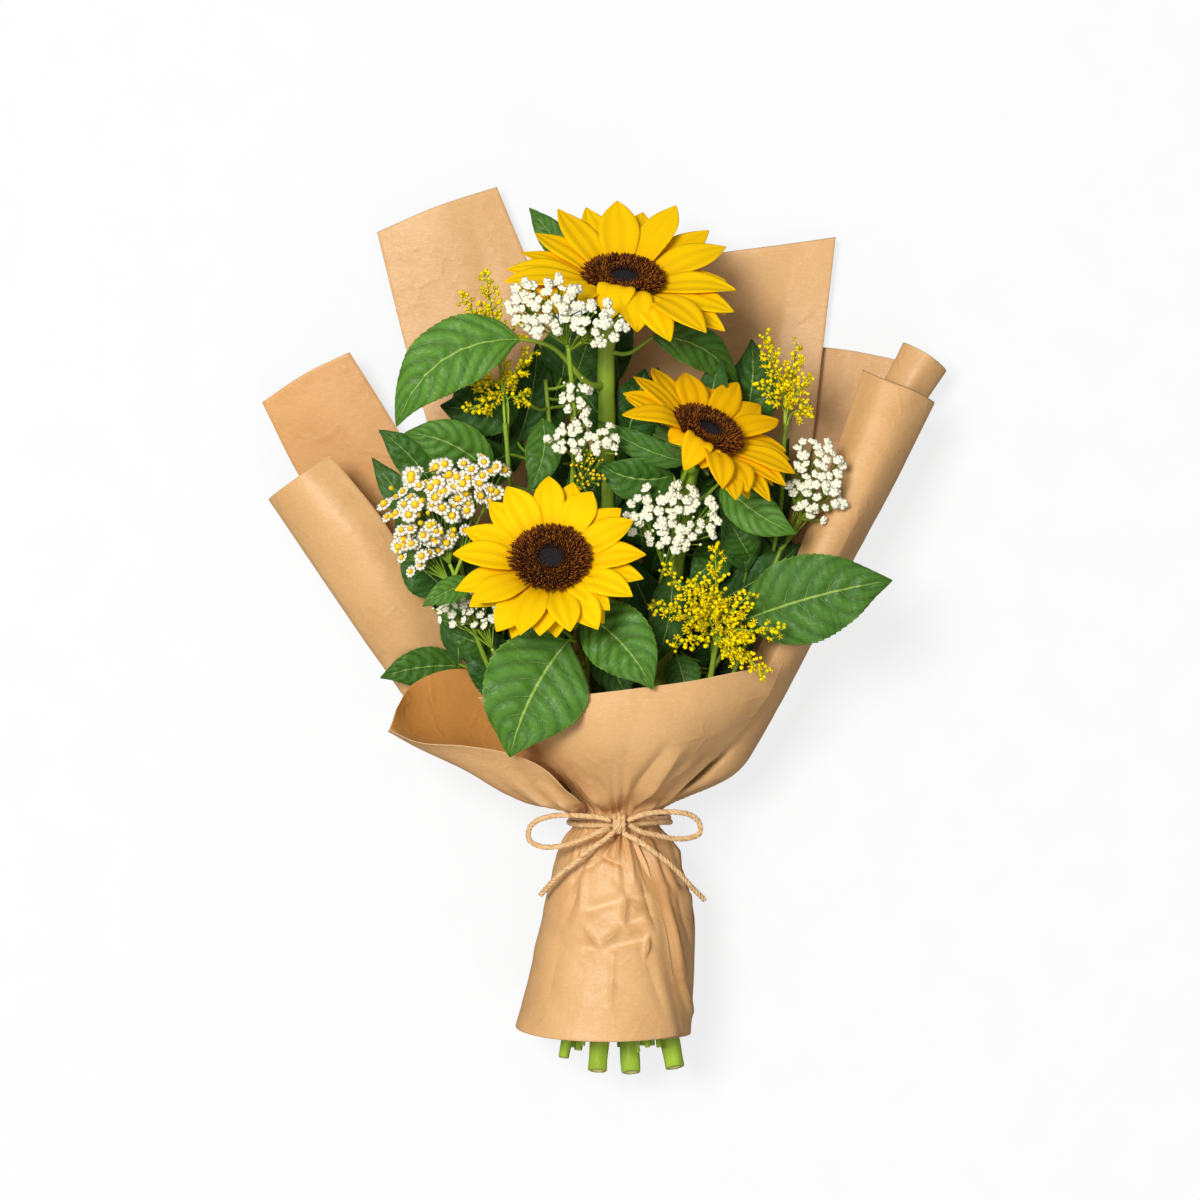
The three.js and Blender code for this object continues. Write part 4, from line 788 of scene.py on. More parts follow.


# rows: lines across the sheet, from its top down; arcs: the same round the wrap, as arc takes them
# creases: from, to, half width and height, raised or, below nought, pressed in; step: between mesh lines
# crumple: where, how far round and how high; warm: depth of a painted shade, deeper and more orange, and
# where across it sets in
# flare: how far the front edge of the skirt stands off; tucked: where across the skirt lies under the front
# sheet, with a painted shadow there
sheets = {
    "paperFront": dict(
        node="paper_front",
        rows=[
            [
                (-79, -40, 98), (-56, -41, 118), (-22, -39, 134), (15, -35, 140), (52, -30, 136),
                (83, -24, 124), (110, -19, 104),
            ],
            [
                (-66, -59, 92), (-44, -61, 112), (-16, -61, 130), (16, -58, 137), (49, -53, 132),
                (77, -47, 118), (100, -40, 100),
            ],
            [
                (-47, -80, 86), (-31, -81, 102), (-10, -82, 118), (16, -80, 124), (43, -76, 119),
                (63, -70, 107), (82, -63, 92),
            ],
            [
                (-20, -97, 73), (-12, -99, 86), (-1, -100, 97), (13, -100, 100), (27, -97, 96),
                (41, -94, 90), (55, -89, 82),
            ],
        ],
        arcs=[
            (0, -84, 44, 2), (1, -88, 30, 2.1), (2, -94, 20, 2.5), (3, -96, 26, 2.5), (4, -98, 34, 2.8),
            (5, -98, 45, 2.8), (6, -98, 64, 2.8, 10),
        ],
        step=1.3, flare=3.8,
        creases=[
            [(45, -73), (16, -111), 7, -3.2], [(36, -71), (10, -111), 6, 1.6],
            [(-19, -90), (5, -111), 7, -3], [(62, -79), (18, -112), 6, 2.8],
            [(80, -85), (21, -112), 5, -2.4], [(21, -42), (8, -97), 20, 1.4],
            [(56, -80), (27, -97), 4, -1.8], [(8, -124), (-3, -142), 2.6, 2.2],
            [(10, -124), (6, -143), 2.6, -2], [(11, -124), (13, -142), 2.4, 1.8],
            [(13, -124), (18, -155), 3, -2], [(15, -124), (29, -159), 3.4, 2.2],
            [(4, -124), (-13, -148), 3.4, -2], [(0, -124), (-21, -159), 4, 1.8],
            [(-3, -139), (11, -145), 3, 2], [(-5, -143), (-13, -148), 3, 1.4],
            [(-15, -174), (13, -164), 5, 1.4], [(-14, -145), (-15, -174), 5, -1.2],
            [(13, -164), (11, -181), 4, -2], [(11, -181), (28, -175), 4, 1.8],
            [(-3, -196), (27, -189), 5, 2], [(27, -189), (24, -201), 2.4, -2.6],
            [(11, -181), (-3, -196), 5, -1.4], [(-16, -195), (-3, -196), 4, 1.4],
            [(5, -199), (3, -233), 4, -1], [(21, -147), (31, -184), 5, 1.6],
            [(31, -165), (13, -164), 4, 1.2], [(-13, -148), (-24, -181), 5, 1],
            [(11, -145), (13, -164), 4, 1.2], [(-3, -196), (-12, -184), 4, -1.2],
            [(-28, -190), (-35, -227), 9, 0.8], [(24, -201), (36, -233), 6, 0.8],
        ],
        crumple=((4, -174), 50, 1.25),
    ),
    "paperLeftFlap": dict(
        node="paper_left_flap",
        rows=[
            [(-134, -60, 100), (-134, -61, 92), (-132, -56, 84), (-129, -47, 76)],
            [(-115, -68, 118), (-116, -71, 98), (-119, -59, 72), (-119, -32, 56)],
            [(-87, -70, 128), (-86, -85, 104), (-92, -65, 58), (-98, -23, 44)],
            [(-62, -74, 126), (-58, -100, 98), (-65, -79, 48), (-75, -24, 34)],
            [(-39, -83, 118), (-31, -107, 88), (-40, -88, 38), (-47, -35, 26)],
            [(-19, -100, 107), (-21, -111, 80), (-25, -103, 44), (-29, -79, 24)],
        ],
        arcs=[(0, -45, -112, 3.4), (1, -45, -108, 3.4)], warm=(0.8, 0.4, 0.6),
        creases=[
            [(-54, -103), (-19, -107), 6, 1.6], [(-65, -79), (-10, -107), 10, -1],
            [(-37, -85), (-6, -108), 6, 1.2],
        ],
        crumple=((-28, -103), 20, 0.4),
    ),
    "paperBackRight": dict(
        node="paper_back_right",
        rows=[
            [(21, 229, 9), (52, 232, 10), (83, 236, 11), (114, 240, 11), (142, 244, 9)],
            [(-13, 177, 2), (24, 177, 2), (61, 176, 3), (98, 174, 4), (134, 174, 7)],
            [(-47, 113, 0), (-3, 110, 0), (40, 105, 0), (83, 103, 2), (125, 100, 6)],
            [(-62, 26, 0), (-22, 23, 0), (21, 20, 0), (65, 20, 2), (106, 20, 6)],
            [(-40, -65, 13), (-24, -60, 5), (9, -60, 3), (46, -60, 6), (74, -60, 11)],
        ],
        arcs=[
            (0, 232, 140, 1), (1, 244, 130, 1.1), (2, 262, 114, 1.4), (3, 268, 106, 1.6),
            (4, 268, 104, 1.6), (5, 268, 104, 1.6), (6, 268, 104, 1.6, 10),
        ],
        creases=[[(120, 241), (102, 106), 16, 1.2], [(-3, -252), (-3, -134), 9, -1.4]],
        crumple=((-3, -147), 40, 0.4),
    ),
    "paperRightCone": dict(
        node="paper_right_cone",
        rows=[
            [(159, 162, 58), (173, 156, 74), (189, 150, 74), (203, 142, 56), (200, 142, 44)],
            [(139, 103, 66), (151, 100, 84), (165, 96, 84), (179, 94, 58), (177, 94, 38)],
            [(117, 45, 76), (127, 43, 95), (140, 41, 93), (150, 40, 62), (149, 39, 34)],
            [(94, -11, 80), (105, -14, 94), (114, -16, 88), (121, -18, 62), (119, -18, 28)],
            [(68, -59, 76), (80, -65, 84), (88, -67, 76), (94, -68, 56), (88, -69, 26)],
            [(52, -88, 66), (62, -90, 74), (73, -89, 68), (81, -86, 54), (73, -87, 30)],
        ],
        arcs=[
            (0, 38, 134, 0), (1, 24, 132, 0), (2, 2, 122, 0), (3, 4, 118, 0), (4, 16, 116, 0),
            (5, 30, 116, 0), (6, 40, 116, 0),
        ],
        step=1.8, tucked=(0.55, 0.25),
        creases=[
            [(23, -127), (37, -160), 4, -2.4], [(37, -160), (47, -215), 4, -2.2],
            [(47, -215), (56, -245), 3, -1.4], [(27, -126), (55, -168), 3.4, 2.4],
            [(34, -126), (53, -153), 3, -2], [(24, -126), (45, -160), 3, -2],
            [(39, -127), (55, -145), 2.6, 1.6], [(45, -160), (55, -202), 5, 1.4],
            [(83, -69), (27, -107), 6, 1.4], [(47, -153), (56, -174), 3, -1.6],
            [(43, -184), (52, -227), 5, -1],
        ],
        crumple=((48, -165), 40, 0.6),
    ),
    "paperBackLeft": dict(
        node="paper_back_left",
        rows=[
            [(-141, 247, 10), (-104, 263, 16), (-67, 275, 12)],
            [(-122, 171, 9), (-81, 185, 11), (-37, 199, 9)],
            [(-105, 113, 7), (-62, 119, 7), (-16, 119, 7)],
            [(-77, 20, 7), (-40, 20, 6), (-3, 20, 6)],
            [(-29, -59, 16), (-18, -60, 14), (-5, -60, 13)],
        ],
        arcs=[(0, -140, -178, -0.2), (1, -140, -178, -0.2)], creases=[[(-84, 267), (-53, 131), 14, 0.8]],
        crumple=((-102, 205), 80, 0.12),
    ),
    "paperBackRoll": dict(
        node="paper_back_roll",
        rows=[
            [
                (123, 177, 1), (151, 174, 1), (185, 167, 4), (210, 161, 20), (200, 171, 38), (184, 179, 26),
                (189, 174, 14),
            ],
            [
                (117, 113, 1), (139, 113, 1), (160, 111, 3), (176, 110, 17), (167, 114, 32), (155, 119, 24),
                (158, 116, 14),
            ],
            [
                (102, 45, 1), (117, 45, 1), (132, 45, 3), (144, 44, 13), (139, 46, 24), (129, 48, 19),
                (131, 46, 11),
            ],
            [
                (78, -17, 1), (88, -17, 1), (98, -17, 2), (105, -17, 3), (110, -17, 5), (114, -17, 8),
                (116, -17, 12),
            ],
            [
                (52, -63, 1), (57, -64, 1), (63, -65, 2), (67, -66, 2), (71, -66, 3), (76, -67, 4),
                (80, -68, 6),
            ],
        ],
        arcs=[(0, 168, 138, 2.4), (1, 166, 138, 2.3)], creases=[], crumple=((169, 144), 50, 0.1),
    ),
    "paperLeftPanel": dict(
        node="paper_left_panel",
        rows=[
            [(-212, 142, 16), (-185, 160, 24), (-158, 173, 24)],
            [(-187, 93, 9), (-158, 113, 17), (-130, 128, 19)],
            [(-153, 45, 4), (-127, 66, 8), (-108, 88, 14)],
            [(-111, -17, 3), (-97, -8, 4), (-84, 5, 5)],
            [(-47, -85, 10), (-40, -79, 8), (-34, -73, 6)],
        ],
        arcs=[(0, 190, 176, 2.4), (1, 190, 176, 2.4)], warm=(0.35, -1, 0),
        creases=[[(-189, 156), (-145, 69), 12, 0.7]], crumple=((-170, 131), 60, 0.12),
    ),
    "paperLeftRoll": dict(
        node="paper_left_roll",
        rows=[
            [(-195, 87, 14), (-208, 82, 30), (-190, 96, 52), (-170, 110, 46)],
            [(-158, 29, 12), (-173, 31, 34), (-155, 52, 58), (-137, 69, 52)],
            [(-127, -14, 12), (-140, -17, 30), (-126, 5, 50), (-110, 23, 46)],
            [(-96, -54, 12), (-111, -55, 22), (-99, -35, 32), (-84, -22, 28)],
            [(-53, -94, 11), (-63, -88, 12), (-59, -71, 14), (-53, -59, 13)],
        ],
        arcs=[(0, 195, 216, 3), (1, 196, 214, 3)], creases=[[(-189, 94), (-115, -5), 12, 0.7]],
        crumple=((-158, 57), 80, 0.12),
    ),
}


def facets(plan, cell, seed):
    # Flat facets with sharp ridges between them, between 1 and -1, as in paper that was handled.
    table = np.random.default_rng(seed).uniform(-1, 1, (64, 64))
    q = plan / cell + 0.35 * np.sin(plan[..., ::-1] / cell * 1.3 + seed)
    x, y = q[..., 0] + 0.5 * q[..., 1] + 32, q[..., 1] * 0.87 + 32
    i, j = x.astype(int) % 63, y.astype(int) % 63
    fx, fy = x % 1, y % 1
    low = table[i, j] * (1 - fx - fy) + table[i + 1, j] * fx + table[i, j + 1] * fy
    high = table[i + 1, j + 1] * (fx + fy - 1) + table[i, j + 1] * (1 - fx) + table[i + 1, j] * (1 - fy)
    return np.where(fx + fy < 1, low, high)


gathers = dict(height=1.1, every=15, flat=0.45, near=10, fade=17)  # flat: the share of it under the twine


def pleats(net):
    # The gathers beside the twine; they follow the turn round the neck, so that the sheets nest.
    turn = np.arctan2(net[..., 0] - neck["x"] * mm, net[..., 2] - neck["z"] * mm)
    turn = turn + 0.22 * np.sin(3 * turn + 1) + 0.1 * np.sin(8 * turn)
    wave = np.abs((turn / math.radians(gathers["every"])) % 1 - 0.5) * 4 - 1
    away = np.abs(net[..., 1] - neckY) / mm
    rising = mix(gathers["flat"], 1, away / gathers["near"])
    falling = np.exp(-((away - gathers["near"]) / gathers["fade"]) ** 2)
    return gathers["height"] * mm * wave * np.where(away < gathers["near"], rising, falling)


def below(net, start, full):
    # 0 down to the first distance under the neck, 1 from the second on.
    return smooth(neckY - start * mm, neckY - full * mm, net[..., 1])


# facets that paper gets in the hand: their size, and how high they are everywhere and, more, where crumpled
handled = dict(cell=25, fineCell=12, fineShare=0.3, everywhere=0.3, crumpled=1.6, creaseLift=1.5, hollow=1.3)


def creased(net, made):
    # Folds along lines, gathers and facets, all along the sheet's own normal.
    out = unit(np.cross(np.gradient(net, axis=1), np.gradient(net, axis=0)))
    plan = net[..., :2]
    height = np.zeros(net.shape[:2])
    for start, end, width, depth in made["creases"]:
        a, b = np.array(start) * mm, np.array(end) * mm
        length = np.linalg.norm(b - a)
        share = np.clip(((plan - a) @ (b - a)) / length ** 2, 0, 1)
        away = np.linalg.norm(plan - (a + share[..., None] * (b - a)), axis=-1)
        fold = np.maximum(0, 1 - away / (width * mm)) ** 1.5
        fold = fold * np.sin(math.pi * np.clip(share, 0.06, 0.94)) ** 0.6
        height += handled["creaseLift"] * depth * mm * fold
    middle, reach, strength = made["crumple"]
    fade = np.exp(-(np.linalg.norm(plan - np.array(middle) * mm, axis=-1) / (reach * mm)) ** 2)
    facet = facets(plan, handled["cell"] * mm, 3)
    facet = facet + handled["fineShare"] * facets(plan, handled["fineCell"] * mm, 5)
    height += facet * strength * mm * (handled["everywhere"] + handled["crumpled"] * fade)
    height += pleats(net)
    if "flare" in made:  # the free edge of the skirt stands off the sheet under it
        edge = smooth(0.88, 1.0, np.linspace(0, 1, net.shape[1]))[None]
        height += made["flare"] * mm * edge * below(net, 12, 40)
    # how far each place lies under or over its neighbours: under them it drives the painted shade in the
    # hollows, over them the painted highlight on the ridges
    around = sum(np.roll(height, shift, axis) for shift in (3, -3) for axis in (0, 1)) / 4
    sunk = height - around
    sunk[:3], sunk[-3:], sunk[:, :3], sunk[:, -3:] = 0, 0, 0, 0
    return net + out * height[..., None], np.clip(sunk / (handled["hollow"] * mm), -1, 1)


def makeSheets():
    for name, made in sheets.items():
        rows = [spots(row) for row in made["rows"]] + [arc(*turn) for turn in made["arcs"]]
        coarse = stops(max(24, 8 * len(rows[0])), 0.003)  # a first net, to measure the sheet by
        lines = np.stack([bend(row, coarse) for row in rows])
        length = np.linalg.norm(np.diff(lines, axis=0), axis=-1).sum(0).max()
        width = np.linalg.norm(np.diff(lines, axis=1), axis=-1).sum(1).max()
        step = made.get("step", 2.6) * mm
        lines = np.stack([bend(row, stops(int(width / step), 0.003)) for row in rows])
        net, fold = creased(bend(lines, stops(int(length / step), 0.0015)), made)
        net[..., 2] = np.maximum(net[..., 2], paperThick * mm)
        across = np.linspace(0, 1, net.shape[1])
        # how deep the painted shade lies on the sheet, and where across it sets in
        depth, start, full = made.get("warm", (0, 0, 1))
        warm = depth * smooth(start, full, across)[None]
        # painted shadow where this sheet lies under the front edge of the skirt
        if "tucked" in made:
            fold = np.clip(fold - smooth(*made["tucked"], across) * below(net, 2, 20), -1, 1)
        # 1 along the border of the sheet, for the painted highlight there
        rim = np.ones(net.shape[:2])
        rim[1:-1, 1:-1] = 0
        heap = Heap()
        addSkin(heap, net, paperThick * mm, warm=warm, fold=fold, rim=rim)
        settle(heap.build(name, [paper]), "kraft_paper", made["node"])
        flat = [np.linalg.norm(np.diff(net, axis=k), axis=-1).sum(k).max() / mm for k in (1, 0)]
        print(name, "is a sheet of", round(flat[0]), "by", round(flat[1]), "mm")


makeSheets()


# Sunflowers

# petals: angle, reach, layer from the front, how far the tip bends up and, on some, how far the petal
# stands over the disc; slot: where the stem passes the neck, x and z
blooms = {
    "frontSunflower": dict(
        node="front_sunflower", centre=(-34, 45, 150), tilt=36, toward=90, disc=22.5, petalWidth=17,
        lift=14, warm=0.1, seed=3,
        petals=[
            [92, 60, 0, -2], [75, 59, 1, 0], [63, 55, 0, -2], [42, 57, 1, 0], [27, 57, 0, -3],
            [2, 58, 0, -3], [-15, 58, 1, -2], [-30, 58, 0, -3], [-47, 51, 2, 0, 4], [-62, 59, 1, -3],
            [-78, 58, 0, -2], [-95, 57, 1, -2], [-107, 62, 0, -3], [-121, 62, 1, -3], [-142, 59, 0, -2],
            [-160, 61, 2, -2], [178, 59, 0, -3], [153, 59, 2, -2], [131, 57, 1, 0], [116, 59, 0, -2],
        ],
        stem=[(-35, 26, 118), (-33, -5, 92), (-16, -66, 72)], slot=(4.6, 57.6), end=(-5, -272, 60),
        leaves=[
            dict(
                via=[(-19, -5, 118)], base=(-23, -5, 132), tip=(-59, -77, 134), width=62, bow=-5,
                lean=(-0.1, -0.2), tint=0.5, fold=0.22,
            ),
            dict(
                via=[(-19, 3, 112)], base=(-15, 13, 128), tip=(29, -35, 146), width=40, bow=5,
                lean=(0.1, -0.1), tint=0.45,
            ),
            dict(
                via=[(-59, 22, 106)], base=(-80, 31, 120), tip=(-113, 16, 128), width=15, bow=-2, arch=4,
                tint=0.6,
            ),
        ],
    ),
    "rightSunflower": dict(
        node="right_sunflower", centre=(63, 124, 118), tilt=58, toward=63, disc=21, petalWidth=17, lift=8,
        warm=0.75, seed=5,
        petals=[
            [-178, 57, 0, -4], [-149, 60, 0, -2, 6], [-118, 36, 2, 3, 6], [-95, 44, 1, -6, 8],
            [-80, 34, 2, -2, 7], [-67, 57, 0, -4, 4], [-56, 61, 1, -4], [-44, 54, 0, -5], [-27, 60, 2, -4],
            [-10, 58, 1, -3], [4, 60, 0, -3], [22, 58, 1, -3], [36, 60, 2, -2], [53, 62, 0, 0],
            [70, 66, 1, 0], [88, 67, 0, 1], [104, 60, 1, 0], [120, 60, 0, -1], [139, 66, 1, -2],
            [160, 60, 0, -3],
        ],
        stem=[(52, 100, 96), (45, 57, 84), (34, -29, 70)], slot=(16, 53), end=(43, -270, 54),
        leaves=[
            dict(
                via=[(46, 89, 98)], base=(51, 105, 108), tip=(-5, 131, 98), width=17, bow=4, arch=8,
                lean=(0, -0.3), tint=0.35,
            ),
            dict(
                via=[(44, 83, 98)], base=(42, 97, 98), tip=(-5, 105, 104), width=27, bow=6, arch=3,
                lean=(0, -0.2), tint=0.25, fold=0.5,
            ),
            dict(via=[(58, 82, 90)], base=(72, 93, 100), tip=(118, 61, 118), width=26, bow=-4, tint=0.6),
            dict(via=[(42, 47, 96)], base=(41, 37, 102), tip=(31, -19, 100), width=24, bow=3, tint=0.08),
        ],
    ),
    "topSunflower": dict(
        node="top_sunflower", centre=(11, 218, 100), tilt=55, toward=84, disc=23.5, petalWidth=20, lift=9,
        warm=0.25, seed=8,
        petals=[
            [-167, 75, 0, -6], [-152, 72, 2, -4], [-133, 66, 1, -4, 6], [-118, 44, 2, 3, 7],
            [-98, 46, 0, -7, 9], [-76, 52, 1, -7, 8], [-60, 62, 2, -7, 6], [-44, 74, 0, -7, 2],
            [-27, 73, 2, -7], [-14, 72, 1, -6], [1, 70, 0, -5], [18, 67, 2, -2], [36, 76, 0, 0],
            [54, 84, 2, 5], [71, 82, 0, 6], [84, 75, 1, 5], [97, 77, 0, 6], [111, 77, 1, 6],
            [126, 77, 0, 4], [142, 73, 1, 0], [158, 72, 2, -2], [176, 73, 1, -5],
        ],
        stem=[(2, 184, 84), (1, 131, 76), (0, 45, 66)], slot=(6, 45), end=(16, -273, 50),
        leaves=[
            dict(
                via=[(-10, 153, 90), (-33, 176, 104)], base=(-53, 181, 110), tip=(-129, 127, 100), width=42,
                stalk=2.6, bow=-16, arch=8, lean=(-0.15, 0.1), tint=0.62,
            ),
            dict(
                via=[(14, 172, 90)], base=(29, 182, 90), tip=(82, 151, 56), width=26, bow=9, arch=8,
                lean=(0.2, 0.1), tint=0.3,
            ),
            dict(via=[(-6, 205, 68)], base=(-19, 227, 56), tip=(-47, 262, 50), width=18, arch=3, tint=0.4),
        ],
    ),
}
# root: where petals leave the disc; front: height of the front layer, step: from one layer to the next
petalForm = dict(root=15, front=-4.4, step=1.2, arch=2.6, thick=0.45, rows=24, cols=13, wide=1.22)
petalEdge = [  # share of the length, share of the half width
    (0, 0.4), (0.15, 0.6), (0.32, 0.84), (0.47, 0.98), (0.58, 1.0), (0.72, 0.87), (0.84, 0.6), (0.92, 0.33),
    (0.975, 0.12), (1, 0),
]


def bloomFrame(made):
    # Rows: the way that angles start from, a quarter turn on, and the bloom's axis.
    lean, way = math.radians(made["tilt"]), math.radians(made["toward"])
    axis = np.array((math.sin(lean) * math.cos(way), math.sin(lean) * math.sin(way), math.cos(lean)))
    start = np.array((math.sin(way), -math.cos(way), 0.0))
    return np.stack([start, np.cross(axis, start), axis]), spot(made["centre"])


def petalNet(row, made, rng):
    # One ray petal in the bloom's frame, in mm: a cupped blade with two long channels.
    angle, reach, layer, tipBend, *stand = row
    t = stops(petalForm["rows"])
    u = np.concatenate([[-1, -0.985], np.linspace(-1, 1, petalForm["cols"])[1:-1], [0.985, 1]])
    out = mix(petalForm["root"], reach, t)
    free = np.maximum(0, (out - made["disc"]) / (reach - made["disc"]))
    start = petalForm["front"] - petalForm["step"] * layer
    rise = math.tan(math.radians(made["lift"] * (1 - 0.3 * layer)))
    lift = start + rise * (out - petalForm["root"]) + petalForm["arch"] * np.sin(math.pi * free)
    lift = lift + tipBend * free ** 2
    if stand:  # it rises at once and leans back over the disc
        lift = lift + stand[0] * smooth(0.0, 0.3, t) * (1 - 0.75 * smooth(0.4, 1.0, t))
        out = out - stand[0] * 0.55 * smooth(0.0, 0.3, t) * (1 - smooth(0.4, 1.0, t))
    edge = bend(np.array(petalEdge), np.linspace(0, 1, 120))
    width = made["petalWidth"] * petalForm["wide"] * (1 - 0.03 * layer) * rng.uniform(0.93, 1.07)
    half = width / 2 * np.interp(t ** rng.uniform(0.88, 1.1), edge[:, 0], edge[:, 1])
    sway, roll = rng.uniform(-1.8, 1.8), math.radians(rng.uniform(-9, 9))
    cup, wave, phase = rng.uniform(-0.3, 1.2), rng.uniform(0.2, 0.5), rng.uniform(0, fullTurn)
    across = half[:, None] * u
    side = across * math.cos(roll) + sway * free[:, None] ** 2
    z = lift[:, None] + across * math.sin(roll) * free[:, None] ** 0.5
    z = z + cup * u ** 2 * np.sin(math.pi * np.clip(t, 0, 1))[:, None] ** 0.7
    z = z + 0.42 * np.cos(u * 8.2 + rng.uniform(-0.4, 0.4)) * (np.sin(math.pi * t) ** 0.5)[:, None]
    z = z + wave * np.abs(u) ** 3 * np.sin(t[:, None] * 9 + phase + 2 * u)
    notch = -1.2 * np.exp(-((u - rng.uniform(-0.5, 0.5)) / 0.3) ** 2) * smooth(0.86, 1, t)[:, None]
    x = out[:, None] + notch - 0.02 * np.abs(across)
    turn = math.radians(angle)
    x, side = x * math.cos(turn) - side * math.sin(turn), x * math.sin(turn) + side * math.cos(turn)
    return np.stack([x, side, z], axis=-1), t[:, None] + 0 * u, u + 0 * t[:, None]


def makePetals(name, made):
    turn, centre = bloomFrame(made)
    rng = np.random.default_rng(made["seed"])
    heap = Heap()
    rows = list(made["petals"])
    for k, (angle, reach, layer, tipBend, *stand) in enumerate(made["petals"]):
        if k % 2 and reach > 50 and not stand:
            rows.append([angle + rng.uniform(7, 10), reach * rng.uniform(0.86, 0.93), 3, tipBend - 1])
    for row in rows:
        net, along, across = petalNet(row, made, rng)
        warm = np.clip(made["warm"] + rng.uniform(-0.15, 0.15), 0, 1)
        addSkin(heap, centre + net * mm @ turn, petalForm["thick"] * mm, along=along, across=across,
                tint=rng.uniform(), warm=warm)
    # the ring behind the disc that they grow from
    collar = roundRings([11, 14, 17, 19.6, 17, 12.5], [-8.4, -8.6, -7.6, -5.6, -3.4, -3.0], 48).reshape(-1, 3)
    faces = strip(7, 48) % len(collar)
    heap.add(centre + collar * mm @ turn, [faces], along=0.1, tint=0.5, warm=made["warm"])
    settle(heap.build(name + "Petals", [petal]), "petal", made["node"] + "_petals")


discForm = dict(florets=1300, seed=31, sides=56, sink=0.9, wobble=0.14)
discProfile = np.array([  # share of the disc's radius, and height
    (0, 2.1), (0.24, 2.3), (0.48, 3.2), (0.7, 4.6), (0.88, 3.8), (1.0, 1.6), (0.97, 0.2), (0.74, -2.2),
])
discLean = [(0, 0), (0.3, -0.1), (0.5, 0.1), (0.7, 0.6), (0.85, 1.4), (1, 2.6)]  # how far florets lean out
discKinds = [  # from and to what share of the radius, the floret, and its least and greatest size
    (0, 0.33, shape((*dome(0.62, 0.7, 6, 2), 0)), 0.62, 0.96),
    (0.33, 0.72, shape((*spike(0.4, 2.8, 0.4), 0)), 0.7, 1.25),
    (0.72, 1.1, shape((*spike(0.42, 3.3, 0.3), 0)), 0.65, 1.5),
]


def makeDisc(name, made):
    # Florets by the golden angle: low buds in the middle, then hairs, then spikes that lean out.
    turn, centre = bloomFrame(made)
    rng = np.random.default_rng(discForm["seed"])
    radius, sides = made["disc"], discForm["sides"]
    heap = Heap()
    edge = discProfile[:0:-1]
    rings = roundRings(edge[:, 0] * radius * 0.97, edge[:, 1] - discForm["sink"], sides)
    places, faces = closed(rings, (0, 0, -3.0), (0, 0, 1.2))
    reach = np.append(np.repeat(edge[:, 0], sides), [0, 0])
    heap.add(centre + places * mm @ turn, faces, reach=reach, tip=0.1, tint=0.3)

    count = discForm["florets"]
    share = np.sqrt((np.arange(count) + 0.5) / count)
    angle = np.arange(count) * goldenAngle + rng.uniform(-0.02, 0.02, count)
    away = np.stack([np.cos(angle), np.sin(angle), np.zeros(count)], axis=1)
    height = np.interp(share, discProfile[:6, 0], discProfile[:6, 1]) - discForm["sink"]
    foot = away * (share * radius)[:, None] + up * height[:, None]
    wobble = rng.normal(0, discForm["wobble"], (count, 3))
    lean = np.interp(share, *zip(*discLean))[:, None]
    facing = unit(away * lean + up + wobble)
    for start, end, floretShape, least, most in discKinds:
        chosen = (share >= start) & (share < end)
        n = int(chosen.sum())
        scale = rng.uniform(least, most, n) * mm * mix(0.9, 1.05, share[chosen])
        spin = rng.uniform(0, fullTurn, n)
        heap.scatter(floretShape, centre + foot[chosen] * mm @ turn, facing[chosen] @ turn, scale, spin,
                     reach=share[chosen], tint=rng.uniform(0, 1, n))
    settle(heap.build(name + "Disc", [floret]), "disc", made["node"] + "_disc")


for name, made in blooms.items():
    makePetals(name, made)
    makeDisc(name, made)
print("petals and discs ready")


# Leaves and stems

# tooth: from one tooth of the rim to the next, cut: how deep it is as a share; waves: along the rim
leafForm = dict(
    thick=0.5, fold=0.14, droop=0.12, arch=5, groove=1.6, quilt=3, rib=0.7, tooth=4, cut=0.034, ruffle=0.09,
    waves=3.2,
)


